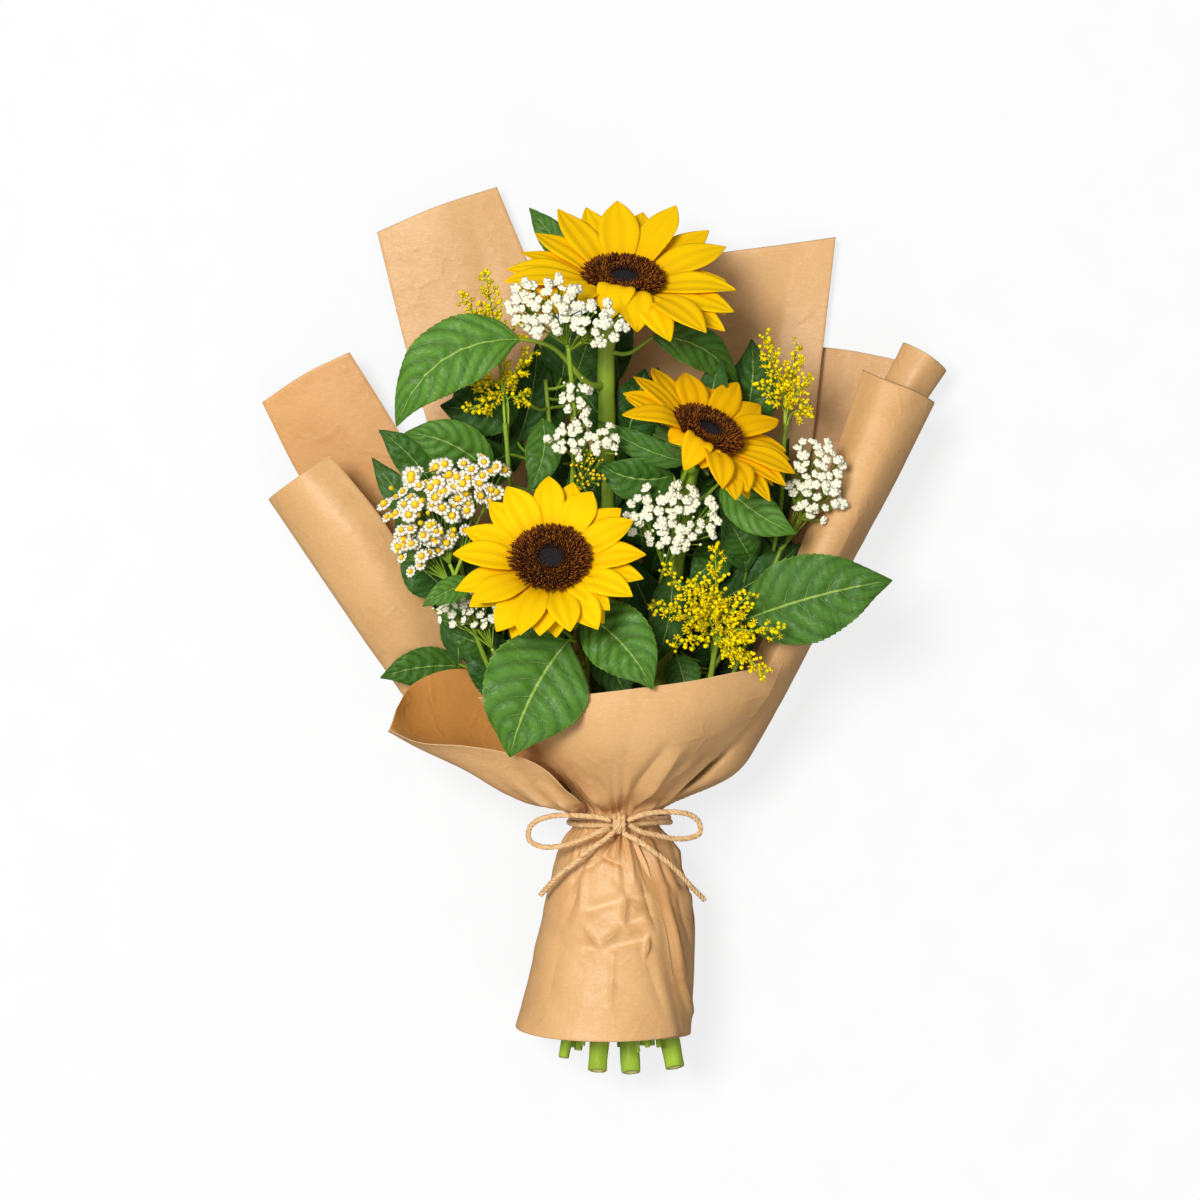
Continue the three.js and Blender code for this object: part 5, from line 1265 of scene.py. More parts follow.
def leafNet(leaf, rng):
    # A toothed blade folded up along its midrib, quilted between sunken side veins.
    base, tip = spot(leaf["base"]), spot(leaf["tip"])
    length, half = np.linalg.norm(tip - base), leaf["width"] * mm / 2
    teeth = max(7, int(length / (leafForm["tooth"] * mm)))
    t = np.concatenate([[0], (np.arange(teeth)[:, None] + [0.06, 0.38, 0.7, 0.96]).ravel() / teeth, [1]])
    cols = 13 if half > 12 * mm else 9
    u = np.concatenate([[-1, -0.97], np.linspace(-1, 1, cols)[1:-1], [0.97, 1]])
    hump = (4 * t * (1 - t))[:, None]
    side = unit(np.cross(up, tip - base))
    midrib = base + (tip - base) * t[:, None]
    midrib = midrib + (side * leaf.get("bow", 0) + up * leaf.get("arch", leafForm["arch"])) * mm * hump
    way = unit(np.gradient(midrib, axis=0))
    across = unit(np.cross(way, unit([*leaf.get("lean", (0, 0)), 1.0])))
    out = np.cross(across, way)
    swell = np.sin(math.pi * t ** 0.78) ** 0.85
    swell = swell * (1 - 0.22 * smooth(0.72, 1.0, t)) * (1 - 0.35 * smooth(0.1, 0.0, t))
    notched = 1 + leafForm["cut"] * ((t * teeth) % 1 - 0.6) * smooth(0.06, 0.2, t)
    edge = 1.06 * half * np.maximum(0, swell) * notched
    edge[-1] = 0
    edge[0] = min(1.2 * mm, half * 0.1)
    away = np.abs(u)[None]
    row = (t[:, None] - veinRun["reach"] * away - veinRun["arch"] * away ** 2) * veinRun["pairs"]
    near = np.abs((row + veinRun["stagger"] * (u[None] > 0) + 0.5) % 1 - 0.5)
    vein = np.exp(-(near / 0.12) ** 2) * (1 - away) ** 0.6 * smooth(0, 0.12, away)
    inside = (1 - away ** 4) * np.sin(math.pi * t)[:, None] ** 0.5
    big = min(1.0, half / (18 * mm))  # a small leaf is flatter
    fold = leaf.get("fold", leafForm["fold"])
    lift = half * swell[:, None] * (fold * away - leafForm["droop"] * away ** 2.5)
    lift = lift - leafForm["groove"] * mm * big * vein * inside
    lift = lift + leafForm["quilt"] * mm * big * (near * 2) ** 1.2 * inside
    lift = lift - leafForm["rib"] * mm * big * np.exp(-(away / 0.07) ** 2)
    wave = np.sin(t[:, None] * leafForm["waves"] * fullTurn + rng.uniform(0, fullTurn) + 2.0 * u[None])
    wave = wave * away ** 2.5 * np.sin(math.pi * t)[:, None] ** 0.6
    lift = lift + half * leafForm["ruffle"] * wave
    beside = edge[:, None] * u[None]
    net = midrib[:, None] + across[:, None] * beside[..., None] + out[:, None] * lift[..., None]
    return net, midrib, out, t[:, None] + 0 * u[None], u[None] + 0 * t[:, None]


def addLeaf(heap, stem, leaf, stalk, rng):
    # The blade, its stalk from the stem, and the rib that stands out below it; slots: blade 0, stem 1.
    net, midrib, out, along, across = leafNet(leaf, rng)
    shade = np.clip(leaf["tint"] + rng.uniform(-0.06, 0.06), 0, 1)
    addSkin(heap, net, leafForm["thick"] * mm, along=along, across=across, tint=shade)
    ways = spots(leaf["via"])
    joint = [midrib[0] - out[0] * 0.6 * mm, midrib[4] - out[4] * 0.9 * mm]
    path = even(np.array([nearestOn(stem, ways[0]), *ways, *joint]), 4 * mm)
    radii = np.linspace(leaf.get("stalk", stalk), 0.9, len(path)) * mm
    addTube(heap, path, radii, 7, 1, tint=shade, shade=0.4)
    rib = (midrib - out * 0.8 * mm)[2:-6]
    addTube(heap, rib, np.linspace(0.9, 0.2, len(rib)) * mm, 6, 1, tint=shade, shade=0.3)


def stemPath(made, behind=()):
    x, z = made["slot"]
    ways = [*behind, *spots(made["stem"]), np.array((x, neck["y"], z)) * mm, spot(made["end"])]
    return even(np.array(ways), 3 * mm)


# rings of the cut: share of the radius, and depth in a stem of the given radius
cutEnd = dict(
    slant=0.32, radius=6, edge=0.3, pith=-0.2, rings=[(0.93, 0), (0.62, 0), (0.58, -0.4), (0.2, -0.5)],
)


def addStem(heap, path, start, end, sides, seed, swell=1.0):
    # A stalk with faint ridges and small nodes; its cut end shows the pale pith. Radii in mm.
    rng = np.random.default_rng(seed)
    n = len(path)
    radii = np.linspace(start, end, n) * mm * (1 + 0.035 * np.sin(np.arange(n) * 0.7 + rng.uniform(0, 6)))
    radii = radii * mix(1, swell, below(path, 52, 112))
    turn = np.arange(sides) / sides * 2 * math.pi
    side, other = carried(path)
    lobes = 1 + 0.035 * np.cos(turn * 5 + rng.uniform(0, 6)) + 0.02 * np.cos(turn * 9)
    x, y = (np.cos(turn) * lobes)[None, :, None], (np.sin(turn) * lobes)[None, :, None]
    ring = x * side[:, None] + y * other[:, None]
    rings = path[:, None] + radii[:, None, None] * ring
    # the end is cut a little aslant, so that it faces up
    slant = cutEnd["slant"] * (ring[-1][:, 2:] + 1) * radii[-1] * unit(path[-2] - path[-1])
    rings[-1] += slant
    rings, n = np.delete(rings, [-2, -3], axis=0), n - 2  # room for the slant
    way = unit(path[-1] - path[-2])
    middle = path[-1] + slant.mean(0)
    rim = radii[-1] * ring[-1] + slant - slant.mean(0)
    scale = end / cutEnd["radius"]
    face = []
    for share, depth in cutEnd["rings"]:
        face.append(middle + share * rim + way * (cutEnd["edge"] + depth * scale) * mm)
    total = n + len(face)
    places, faces = closed(np.concatenate([rings, face]), path[0], middle + way * cutEnd["pith"] * scale * mm)
    cut = np.concatenate([np.zeros(n * sides), np.repeat([0.5, 0.7, 1.0, 1.0], sides), [0, 1]])
    along = np.append(np.repeat(np.linspace(0, 1, total), sides), [0, 1])
    across = np.append(np.tile(np.cos(turn), total), [0, 0])
    dim = np.delete(0.35 * (1 - below(path, 42, 82)), [-2, -3])
    dim = np.append(np.repeat(np.append(dim, np.zeros(len(face))), sides), [0.35, 0])
    heap.add(places, faces, 1, along=along, across=across, cut=cut, tint=rng.uniform(), shade=dim)


# inner and outer row: root as a share of the disc, reach and height
bracts = dict(count=26, thick=0.6, rows=[(0.6, 29, -11.4), (0.5, 32, -12.6)])


def bract(angle, root, reach, height, width, curl):
    # A pointed green leaflet behind the petals, in the bloom's frame, in mm.
    t, u = stops(9, 0.02)[:, None], np.array([-1, -0.95, -0.5, 0, 0.5, 0.95, 1])
    half = width / 2 * np.sqrt(np.clip(1 - t, 0, 1)) * (1 - 0.4 * t) + 0.05
    x, side = mix(root, reach, t) + 0 * u, half * u
    z = height + curl * t ** 2 + 0.12 * half * u ** 2
    c, s = math.cos(math.radians(angle)), math.sin(math.radians(angle))
    return np.stack([x * c - side * s, x * s + side * c, z], axis=-1), t + 0 * u


def makeStalk(name, made):
    turn, centre = bloomFrame(made)
    rng = np.random.default_rng(made["seed"] + 40)
    heap = Heap()
    behind = [centre + np.array((0, 0, z)) * mm @ turn for z in (-14, -25)]
    path = stemPath(made, behind)
    addStem(heap, path, 5.2, 6, 20, made["seed"])
    disc = made["disc"]
    radii = [2, 5.6, 9.5, disc * 0.62, disc * 0.8, disc * 0.86, disc * 0.8, 9]
    rings = roundRings(radii, [-19, -18.6, -16.2, -13.4, -12, -10.8, -9.2, -8.8], 40)
    places, faces = closed(rings, (0, 0, -19.2), (0, 0, -8.6))
    heap.add(centre + places * mm @ turn, faces, 1, along=0.5, tint=0.4)
    for k in range(bracts["count"]):
        root, reach, height = bracts["rows"][k % 2]
        angle = k * 360 / bracts["count"] + rng.uniform(-3, 3)
        reach = reach * rng.uniform(0.92, 1.04)
        width, curl = rng.uniform(9, 11), rng.uniform(0.5, 2.0)
        net, along = bract(angle, disc * root, reach, height, width, curl)
        across = np.linspace(-1, 1, net.shape[1])
        addSkin(heap, centre + net * mm @ turn, bracts["thick"] * mm, along=along, across=across, tint=0.45)
    for leaf in made["leaves"]:
        addLeaf(heap, path, leaf, 1.6, rng)
    settle(heap.build(name + "Stem", [leafBlade, greenStem]), "stem", made["node"] + "_stem")


for name, made in blooms.items():
    makeStalk(name, made)
print("sunflower stems ready")

leafyStems = {
    "leafyStemLeft": dict(
        node="leafy_stem_left", slot=(3.5, 37.6), end=(0, -255, 34), seed=61,
        stem=[(-95, 93, 64), (-84, 20, 52), (-47, -54, 40)],
        leaves=[
            dict(via=[(-97, 76, 66)], base=(-105, 88, 72), tip=(-140, 125, 84), width=22, bow=-3, tint=0.2),
            dict(via=[(-92, 45, 60)], base=(-105, 63, 62), tip=(-144, 108, 64), width=20, bow=2, tint=0.15),
            dict(
                via=[(-84, 88, 72)], base=(-71, 98, 84), tip=(-124, 123, 94), width=30, bow=-6, arch=8,
                lean=(-0.2, 0), tint=0.45,
            ),
            dict(
                via=[(-79, -19, 36)], base=(-89, -21, 37), tip=(-139, -28, 50), width=24, bow=-3, arch=2,
                tint=0.25,
            ),
            dict(via=[(-81, -5, 60)], base=(-79, 2, 68), tip=(-102, 27, 72), width=24, arch=4, tint=0.2),
            dict(via=[(-92, 32, 62)], base=(-98, 41, 66), tip=(-128, 82, 72), width=36, arch=4, tint=0.06),
            dict(via=[(4, -81, 44)], base=(4, -75, 46), tip=(-3, -45, 10), width=40, arch=2, tint=0),
            dict(via=[(13, -81, 44)], base=(14, -75, 46), tip=(24, -44, 12), width=38, arch=2, tint=0),
            dict(via=[(-90, 20, 60)], base=(-97, 25, 62), tip=(-127, 52, 66), width=30, arch=4, tint=0.04),
            dict(via=[(-92, 51, 66)], base=(-96, 54, 72), tip=(-102, 100, 80), width=34, arch=4, tint=0.06),
            dict(via=[(-65, -23, 56)], base=(-65, -11, 70), tip=(-97, 0, 78), width=20, arch=4, tint=0.15),
        ],
    ),
    "leafyStemMiddle": dict(
        node="leafy_stem_middle", slot=(11.8, 38.9), end=(9, -256, 34), seed=62,
        stem=[(-37, 156, 52), (-31, 94, 50), (-16, -5, 42)],
        leaves=[
            dict(via=[(-40, 137, 56)], base=(-53, 144, 62), tip=(-102, 140, 66), width=34, bow=4, tint=0.1),
            dict(via=[(-44, 106, 56)], base=(-59, 110, 60), tip=(-95, 95, 64), width=30, tint=0.1),
            dict(via=[(-29, 151, 58)], base=(-19, 156, 62), tip=(-8, 187, 62), width=22, tint=0.2),
            dict(
                via=[(-37, 119, 66)], base=(-39, 132, 78), tip=(-48, 87, 88), width=22, bow=5, arch=3,
                tint=0.3,
            ),
            dict(via=[(-24, 82, 54)], base=(-16, 82, 56), tip=(-8, 48, 56), width=22, tint=0.1),
            dict(via=[(-28, 3, 52)], base=(-37, 8, 54), tip=(-62, -14, 56), width=26, arch=2, tint=0.1),
            dict(via=[(-8, -11, 56)], base=(-3, -5, 66), tip=(14, -42, 84), width=26, tint=0.2),
            dict(
                via=[(-31, 150, 46)], base=(-27, 157, 42), tip=(-19, 195, 40), width=32, arch=3, tint=0.06,
            ),
            dict(via=[(-28, 144, 46)], base=(-19, 161, 36), tip=(-3, 202, 34), width=30, arch=3, tint=0.06),
            dict(via=[(-53, 20, 46)], base=(-77, 9, 44), tip=(-89, 52, 48), width=28, arch=3, tint=0.06),
            dict(via=[(-65, 20, 46)], base=(-93, 37, 46), tip=(-98, 82, 50), width=30, arch=3, tint=0.06),
        ],
    ),
    "leafyStemRight": dict(
        node="leafy_stem_right", slot=(18, 42), end=(23, -255, 39), seed=63,
        stem=[(86, 100, 46), (80, 20, 46), (52, -54, 42)],
        leaves=[
            dict(
                via=[(76, 5, 80)], base=(84, 7, 106), tip=(177, 32, 116), width=52, bow=3, arch=6,
                tint=0.28,
            ),
            dict(via=[(78, 54, 56)], base=(72, 57, 68), tip=(51, 31, 82), width=24, bow=3, tint=0.25),
            dict(via=[(88, 63, 52)], base=(92, 66, 54), tip=(115, 45, 55), width=26, arch=3, tint=0.1),
            dict(via=[(48, -27, 62)], base=(44, -14, 90), tip=(52, -42, 96), width=22, arch=2, tint=0.3),
            dict(
                via=[(84, 106, 46)], base=(82, 119, 46), tip=(90, 181, 44), width=32, bow=-4, arch=4,
                tint=0.1,
            ),
            dict(via=[(85, 39, 60)], base=(90, 45, 74), tip=(76, 69, 80), width=22, arch=4, tint=0.25),
        ],
    ),
}
# leaves that fill the bunch inside an outline; they fan out from a place under the neck
fill = dict(count=64, heights=(24, 76), lengths=(44, 72), widths=(20, 32), seed=9, root=(9, -170), spread=1.3)
fillEdge = [
    (-95, 140), (-28, 173), (27, 177), (103, 150), (120, 100), (102, 20), (72, -22), (-3, -42), (-62, -35),
    (-96, -5), (-115, 45),
]


def inEdge(x, y):
    inside = False
    for (ax, ay), (bx, by) in zip(fillEdge, fillEdge[1:] + fillEdge[:1]):
        if (ay > y) != (by > y) and x < (bx - ax) * (y - ay) / (by - ay) + ax:
            inside = not inside
    return inside


def fillLeaves(paths):
    # Leaves low in the bunch, painted dark with shade by a low tint, shared out to the leafy stem that each
    # lies nearest to.
    rng = np.random.default_rng(fill["seed"])
    shared = {name: [] for name in paths}
    corners = np.array(fillEdge)
    rootX, rootY = fill["root"]
    while sum(len(found) for found in shared.values()) < fill["count"]:
        x, y = rng.uniform(corners.min(0), corners.max(0))
        if not inEdge(x, y):
            continue
        z = rng.uniform(*fill["heights"])
        heading = math.atan2(x - rootX, y - rootY) * fill["spread"] + rng.uniform(-0.7, 0.7)
        length = rng.uniform(*fill["lengths"])
        way = np.array((math.sin(heading), math.cos(heading), rng.uniform(-0.06, 0.1))) * length
        base, tip = (x, y, z) - way / 2, (x, y, z) + way / 2
        name = min(paths, key=lambda one: np.linalg.norm(nearestOn(paths[one], base * mm) - base * mm))
        near = nearestOn(paths[name], (base - way * 0.4) * mm) / mm
        lean = (rng.uniform(-0.35, 0.35), rng.uniform(-0.35, 0.2))
        shared[name].append(dict(
            via=[mix(near, base, 0.6) + up * 3], base=base, tip=tip, arch=3, lean=lean,
            width=rng.uniform(*fill["widths"]), bow=rng.uniform(-5, 5), tint=rng.uniform(0.0, 0.14),
        ))
    return shared


def makeLeafyStems():
    paths = {name: stemPath(made) for name, made in leafyStems.items()}
    more = fillLeaves(paths)
    for name, made in leafyStems.items():
        rng = np.random.default_rng(made["seed"])
        heap = Heap()
        addStem(heap, paths[name], 1.4, 2, 12, made["seed"])
        for leaf in made["leaves"] + more[name]:
            addLeaf(heap, paths[name], leaf, 1.1, rng)
        settle(heap.build(name, [leafBlade, greenStem]), "leaf", made["node"])
    print("leafy stems ready")


makeLeafyStems()


# Sprays of small white flowers; the daisy kind has yellow domes and narrow rays, the bead kind only its buds

sprays = {
    "chamomileSpray": dict(
        node="chamomile_spray", kind="daisy", slot=(-2.2, 52.8), end=(-26, -263, 52), radius=1.8, swell=1.9,
        stem=[(-93, 35, 98), (-65, -35, 78)],
        umbels=[
            dict(
                fork=(-96, 42, 100), centre=(-110, 79, 124), size=(29, 26, 14), heads=56, head=5.7, seed=11,
            ),
            dict(fork=(-97, 32, 98), centre=(-117, 52, 112), size=(16, 15, 8), heads=17, head=5.0, seed=13),
            dict(fork=(-89, 45, 100), centre=(-80, 93, 122), size=(20, 17, 8), heads=24, head=5.6, seed=12),
        ],
    ),
    "yarrowSpray": dict(
        node="yarrow_spray", kind="yarrow", slot=(-1.3, 40.9), end=(-17, -258, 44), radius=1.8, swell=1.5,
        stem=[(-23, 177, 128), (-19, 125, 110), (-21, 69, 90)],
        umbels=[
            dict(
                fork=(-24, 177, 130), centre=(-37, 203, 161), size=(26, 19, 10), heads=68, head=3.45,
                seed=21,
            ),
            dict(
                fork=(-22, 174, 128), centre=(-5, 191, 161), size=(17, 14, 7), heads=30, head=3.45, seed=22,
            ),
            dict(
                fork=(-21, 131, 108), centre=(-18, 145, 124), size=(10, 14, 7), heads=20, head=3.0, seed=24,
            ),
            dict(
                fork=(-19, 105, 108), centre=(-14, 120, 126), size=(26, 12, 7), heads=40, head=3.1, seed=23,
            ),
            dict(
                fork=(-18, 88, 104), centre=(-11, 100, 118), size=(11, 13, 5), heads=46, head=3.0, seed=25,
                kind="bead",
            ),
        ],
    ),
    "whiteSprayMiddle": dict(
        node="white_spray_middle", kind="yarrow", slot=(4.5, 65.6), end=(20, -259, 68), radius=1.6,
        stem=[(34, 32, 96), (29, -35, 92)],
        umbels=[
            dict(fork=(36, 39, 98), centre=(41, 71, 120), size=(30, 23, 10), heads=74, head=3.5, seed=31),
        ],
    ),
    "whiteSprayRight": dict(
        node="white_spray_right", kind="yarrow", slot=(21.3, 59.6), end=(33, -256, 68), radius=1.6,
        stem=[(108, 51, 82), (74, -35, 76)],
        umbels=[
            dict(fork=(111, 54, 80), centre=(131, 95, 104), size=(19, 27, 10), heads=58, head=3.5, seed=41),
        ],
    ),
    "whiteSprayLow": dict(
        node="white_spray_low", kind="yarrow", slot=(-3.2, 58.6), end=(-14, -255, 66), radius=1.5,
        stem=[(-69, -12, 93), (-45, -49, 82), (-17, -88, 68)],
        umbels=[
            dict(fork=(-70, -10, 93), centre=(-85, 13, 104), size=(25, 11, 6), heads=34, head=3.0, seed=51),
        ],
    ),
}
daisyHead = shape(*[turned(lobe(0.82, 0.74, 0.2, 0.03, 8, 0.03), k / 9 * 2 * math.pi, 0) for k in range(9)],
                  (*dome(0.42, 0.44, 10, 3, 0.02), 1))
yarrowHead = shape(*[turned(lobe(0.95, 1.15, 0.05, 0.25, 10, 0.2), k / 5 * 2 * math.pi, 0) for k in range(5)],
                   (*dome(0.42, 0.4, 8, 3, 0.12), 0.6))
yarrowBud = shape((*dome(0.4, 0.5, 7, 3), 0), (*dome(0.3, 0.1, 6, 2, -0.1), 0.6))
yellowBud = shape((*dome(0.45, 0.5, 8, 3), 1))
greenCup = shape((*dome(0.34, -0.5, 6, 2), 0))
headKinds = dict(  # open head, closed head and the share that is closed
    daisy=(daisyHead, yellowBud, 0.14), yarrow=(yarrowHead, yarrowBud, 0.1), bead=(daisyHead, yellowBud, 1.0),
)
umbelForm = dict(groups=9, spread=0.96, hubSpread=0.72, branch=0.55, stalklet=0.4, budSize=0.68)


def addUmbel(heap, umbel, kind):
    # Heads on a domed cluster; each stalklet parts from the others on its way up from the fork.
    rng = np.random.default_rng(umbel["seed"])
    fork, middle = spot(umbel["fork"]), spot(umbel["centre"])
    size = np.array(umbel["size"]) * mm
    count, groups = umbel["heads"], umbelForm["groups"]
    reach = umbelForm["spread"] * np.sqrt((np.arange(count) + 0.5) / count)
    turn = np.arange(count) * goldenAngle + rng.uniform(-0.35, 0.35, count)
    places = middle + np.stack([np.cos(turn), np.sin(turn), -reach], axis=1) * reach[:, None] * size
    places = places + rng.normal(0, 1, (count, 3)) * np.array((1.2, 1.2, 1.6)) * mm
    reach = umbelForm["hubSpread"] * np.sqrt((np.arange(groups) + 0.5) / groups)
    turn = np.arange(groups) * goldenAngle
    hubs = middle + np.stack([np.cos(turn), np.sin(turn), -reach], axis=1) * reach[:, None] * size
    hubs = mix(fork, hubs - up * size[2] * 0.5, 0.62)
    crowns = mix(fork, hubs, 1.5)
    belongs = np.argmin(np.linalg.norm(places[:, None, :2] - crowns[None, :, :2], axis=-1), axis=1)
    facing = unit(unit(places - hubs[belongs]) + up + rng.normal(0, 0.45, (count, 3)))
    for k, hub in enumerate(hubs):
        if np.any(belongs == k):
            line = even(np.array([fork, mix(fork, hub, 0.5) - up * mm, hub]), 4 * mm)
            addTube(heap, line, umbelForm["branch"] * mm, 5, 1, tint=rng.uniform(), shade=0.4)
    for k in range(count):
        hub, top = hubs[belongs[k]], places[k] - facing[k] * 0.6 * mm
        bow = mix(hub, top, 0.55) + (top - hub) * np.array((0.1, 0.1, -0.12))
        line = even(np.array([hub, bow, top]), 4 * mm)
        addTube(heap, line, umbelForm["stalklet"] * mm, 4, 1, tint=rng.uniform(), shade=0.45)
    opened, bud, closedShare = headKinds[kind]
    spin = rng.uniform(0, fullTurn, count)
    scale = umbel["head"] * mm * rng.uniform(0.72, 1.12, count)
    shut = rng.uniform(0, 1, count) < closedShare
    heap.scatter(opened, places[~shut], facing[~shut], scale[~shut], spin[~shut])
    heap.scatter(bud, places[shut], facing[shut], scale[shut] * umbelForm["budSize"], spin[shut])
    heap.scatter(greenCup, places, facing, scale, spin, 1, tint=0.5, shade=0.3)


def makeSprays():
    for name, made in sprays.items():
        heap = Heap()
        path = stemPath(made)
        radius, seed = made["radius"], made["umbels"][0]["seed"]
        addStem(heap, path, radius * 0.8, radius, 10, seed, made.get("swell", 1.0))
        for umbel in made["umbels"]:
            foot = spot(umbel["fork"])
            addTube(heap, even(np.array([nearestOn(path, foot), foot]), 3 * mm), 1.2 * mm, 6, 1, tint=0.3)
            addUmbel(heap, umbel, umbel.get("kind", made["kind"]))
        settle(heap.build(name, [whiteFloret, greenStem]), "white_flower", made["node"])
    print("white sprays ready")


makeSprays()


# Goldenrod: plumes of twigs with tiny flowers along them

# plumes: from, to and width; green: how green the buds are
goldenrods = {
    "goldenrodLeft": dict(
        node="goldenrod_left", slot=(-1.1, 46.2), end=(-21, -256, 46), seed=71, green=0.45,
        stem=[(-62, 129, 83), (-53, 45, 72)],
        plumes=[
            [(-65, 168, 84), (-74, 223, 84), 9], [(-68, 174, 84), (-88, 209, 86), 8],
            [(-65, 153, 82), (-82, 153, 92), 9], [(-62, 147, 82), (-87, 136, 92), 8],
            [(-62, 153, 84), (-44, 174, 90), 9], [(-60, 144, 82), (-47, 147, 88), 8],
            [(-62, 174, 84), (-53, 194, 88), 8],
        ],
    ),
    "goldenrodRight": dict(
        node="goldenrod_right", slot=(20.9, 46), end=(29, -255, 38), seed=72, green=0.3,
        stem=[(111, 128, 66), (102, 45, 60)],
        plumes=[
            [(110, 144, 66), (98, 184, 70), 9], [(111, 144, 66), (119, 178, 70), 8],
            [(113, 140, 68), (126, 159, 74), 8], [(110, 137, 66), (95, 155, 74), 8],
            [(114, 134, 68), (127, 140, 76), 8],
        ],
    ),
    "goldenrodFront": dict(
        node="goldenrod_front", slot=(13.5, 61), end=(26, -256, 74), seed=73, green=0.25,
        stem=[(69, -5, 112), (58, -54, 98)],
        plumes=[
            [(68, 6, 112), (68, 54, 122), 9], [(65, 6, 114), (36, 41, 122), 8],
            [(66, 3, 114), (29, 18, 124), 9], [(68, 6, 114), (55, 34, 126), 8],
            [(71, 6, 114), (90, 25, 124), 9], [(72, 0, 114), (110, 2, 128), 9],
            [(72, -2, 114), (99, -26, 134), 9], [(69, -3, 114), (80, -18, 132), 8],
            [(66, -2, 114), (41, -8, 128), 8],
        ],
    ),
}
goldenHead = shape(*[turned(lobe(0.95, 0.5, 0.1, 0.55, 5), k / 5 * 2 * math.pi, 0) for k in range(5)],
                   (*dome(0.34, 0.6, 5, 2), 0))
goldenBead = shape((*dome(0.6, 0.85, 6, 3), 0))
plumeForm = dict(wide=0.74, everyTwig=1.9, everyBead=1.5, bead=1.92, opened=0.25, turn=2.4)


def addPlume(heap, root, plume, made, rng):
    start, tip = spot(plume[0]), spot(plume[1])
    wide = plume[2] * mm * plumeForm["wide"]
    axis = even(np.array([root, start, mix(start, tip, 0.5) + up * 4 * mm, tip]), 2 * mm)
    addTube(heap, axis, np.linspace(0.9, 0.3, len(axis)) * mm, 5, 1, tint=rng.uniform())
    first = int(np.argmin(np.linalg.norm(axis - start, axis=1)))
    side, other = carried(axis)
    count = int(np.linalg.norm(tip - start) / (plumeForm["everyTwig"] * mm))
    places, facing = [], []
    for k in range(count):
        share = (k + 0.5) / count
        at = int(round(mix(first, len(axis) - 2, share)))
        way = unit(axis[min(at + 1, len(axis) - 1)] - axis[at - 1])
        turn = k * plumeForm["turn"] + rng.uniform(-0.4, 0.4)
        outward = math.cos(turn) * side[at] + math.sin(turn) * other[at]
        reach = wide * (1.6 - 1.1 * share) * rng.uniform(0.75, 1.15)
        end = axis[at] + outward * reach + way * reach * 0.9
        twig = np.array([axis[at], mix(axis[at], end, 0.5) + way * 0.6 * mm, end])
        addTube(heap, twig, np.array((0.3, 0.25, 0.2)) * mm, 4, 1, tint=rng.uniform(), shade=0.35)
        beads = max(2, int(reach / (plumeForm["everyBead"] * mm)))
        for b in range(beads):
            place = bend(twig, np.array([(b + 1) / beads]))[0]
            places.append(place + rng.normal(0, 0.45, 3) * mm + up * 0.4 * mm)
            facing.append(unit(up * 0.6 + outward * 0.7 + way * 0.5 + rng.normal(0, 0.3, 3)))
    places, facing = np.array(places), np.array(facing)
    opened = rng.uniform(0, 1, len(places)) < plumeForm["opened"]
    scale = rng.uniform(0.8, 1.25, len(places)) * plumeForm["bead"] * mm
    spin = rng.uniform(0, fullTurn, len(places))
    tint = np.clip(rng.normal(made["green"] + 0.2, 0.25, len(places)), 0, 1)
    for one, chosen, size in ((goldenHead, opened, 1.25), (goldenBead, ~opened, 1.1)):
        scales = scale[chosen] * size
        heap.scatter(one, places[chosen], facing[chosen], scales, spin[chosen], tint=tint[chosen])


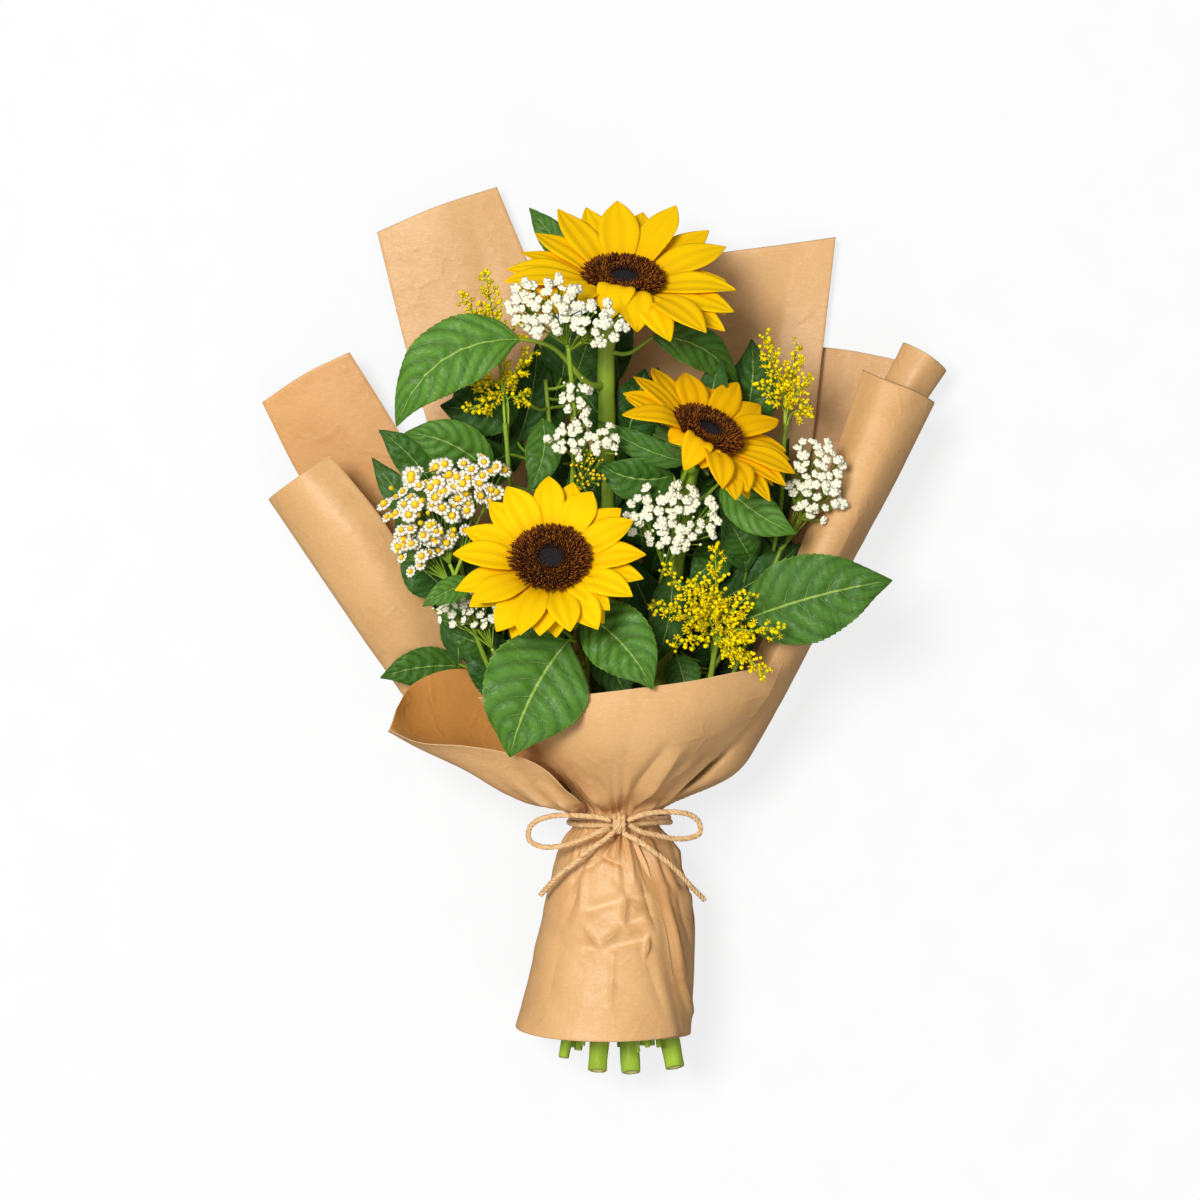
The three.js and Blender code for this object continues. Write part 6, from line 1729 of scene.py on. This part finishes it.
def makeGoldenrods():
    for name, made in goldenrods.items():
        rng = np.random.default_rng(made["seed"])
        heap = Heap()
        path = stemPath(made)
        addStem(heap, path, 1.5, 1.7, 10, made["seed"])
        for k, plume in enumerate(made["plumes"]):
            addPlume(heap, path[2 * k], plume, made, rng)
        settle(heap.build(name, [goldenBud, greenStem]), "goldenrod", made["node"])
    print("goldenrod ready")


makeGoldenrods()


# Floor and light

studio = dict(  # in metres; lamps: power, place and size
    floorSize=9.0, floorGlow=0.78, world=0.35, aim=(0, 0.02, 0.06),
    lamps=dict(key=(170.0, (-1.4, 0.85, 4.0), 1.4), fill=(15.0, (0.7, -1.9, 2.2), 1.6)),
)


def makeStudio():
    material, w, shader = newMaterial("studioFloor", roughness=0.9, specular=0.1)
    grain = w.noise(w.place(), 30.0, 2.0)
    w.feed(shader["Base Color"], w.blend(w.ramp(grain, 0.3, 0.7), tone(112, 112, 112), tone(110, 110, 110)))
    shader["Emission Color"].default_value = (1.0, 1.0, 1.0, 1.0)
    # the floor looks white without lighting the bunch from below
    seen = w.node("LightPath").outputs["Is Camera Ray"]
    w.feed(shader["Emission Strength"], w.math("MULTIPLY", seen, studio["floorGlow"]))
    size = studio["floorSize"] / 2
    mesh = bpy.data.meshes.new("studioFloor")
    corners = [(-size, -size, 0), (size, -size, 0), (size, size, 0), (-size, size, 0)]
    mesh.from_pydata(corners, [], [(0, 1, 2, 3)])
    mesh.materials.append(material)
    floor = bpy.data.objects.new("studioFloor", mesh)
    scene.collection.objects.link(floor)

    world = bpy.data.worlds.new("studio")
    world.use_nodes = True
    sky = world.node_tree.nodes["Background"].inputs
    sky["Color"].default_value = (1.0, 1.0, 1.0, 1.0)
    sky["Strength"].default_value = studio["world"]
    scene.world = world
    for name, (power, place, size) in studio["lamps"].items():
        data = bpy.data.lights.new(name, "AREA")
        data.energy, data.size = power, size
        lamp = bpy.data.objects.new(name, data)
        lamp.location = place
        aim = np.array(studio["aim"]) - np.array(place)
        lamp.rotation_euler = Vector(aim).to_track_quat("-Z", "Y").to_euler()
        scene.collection.objects.link(lamp)
    scene.view_settings.view_transform = "Standard"
    scene.view_settings.look = "None"


makeStudio()
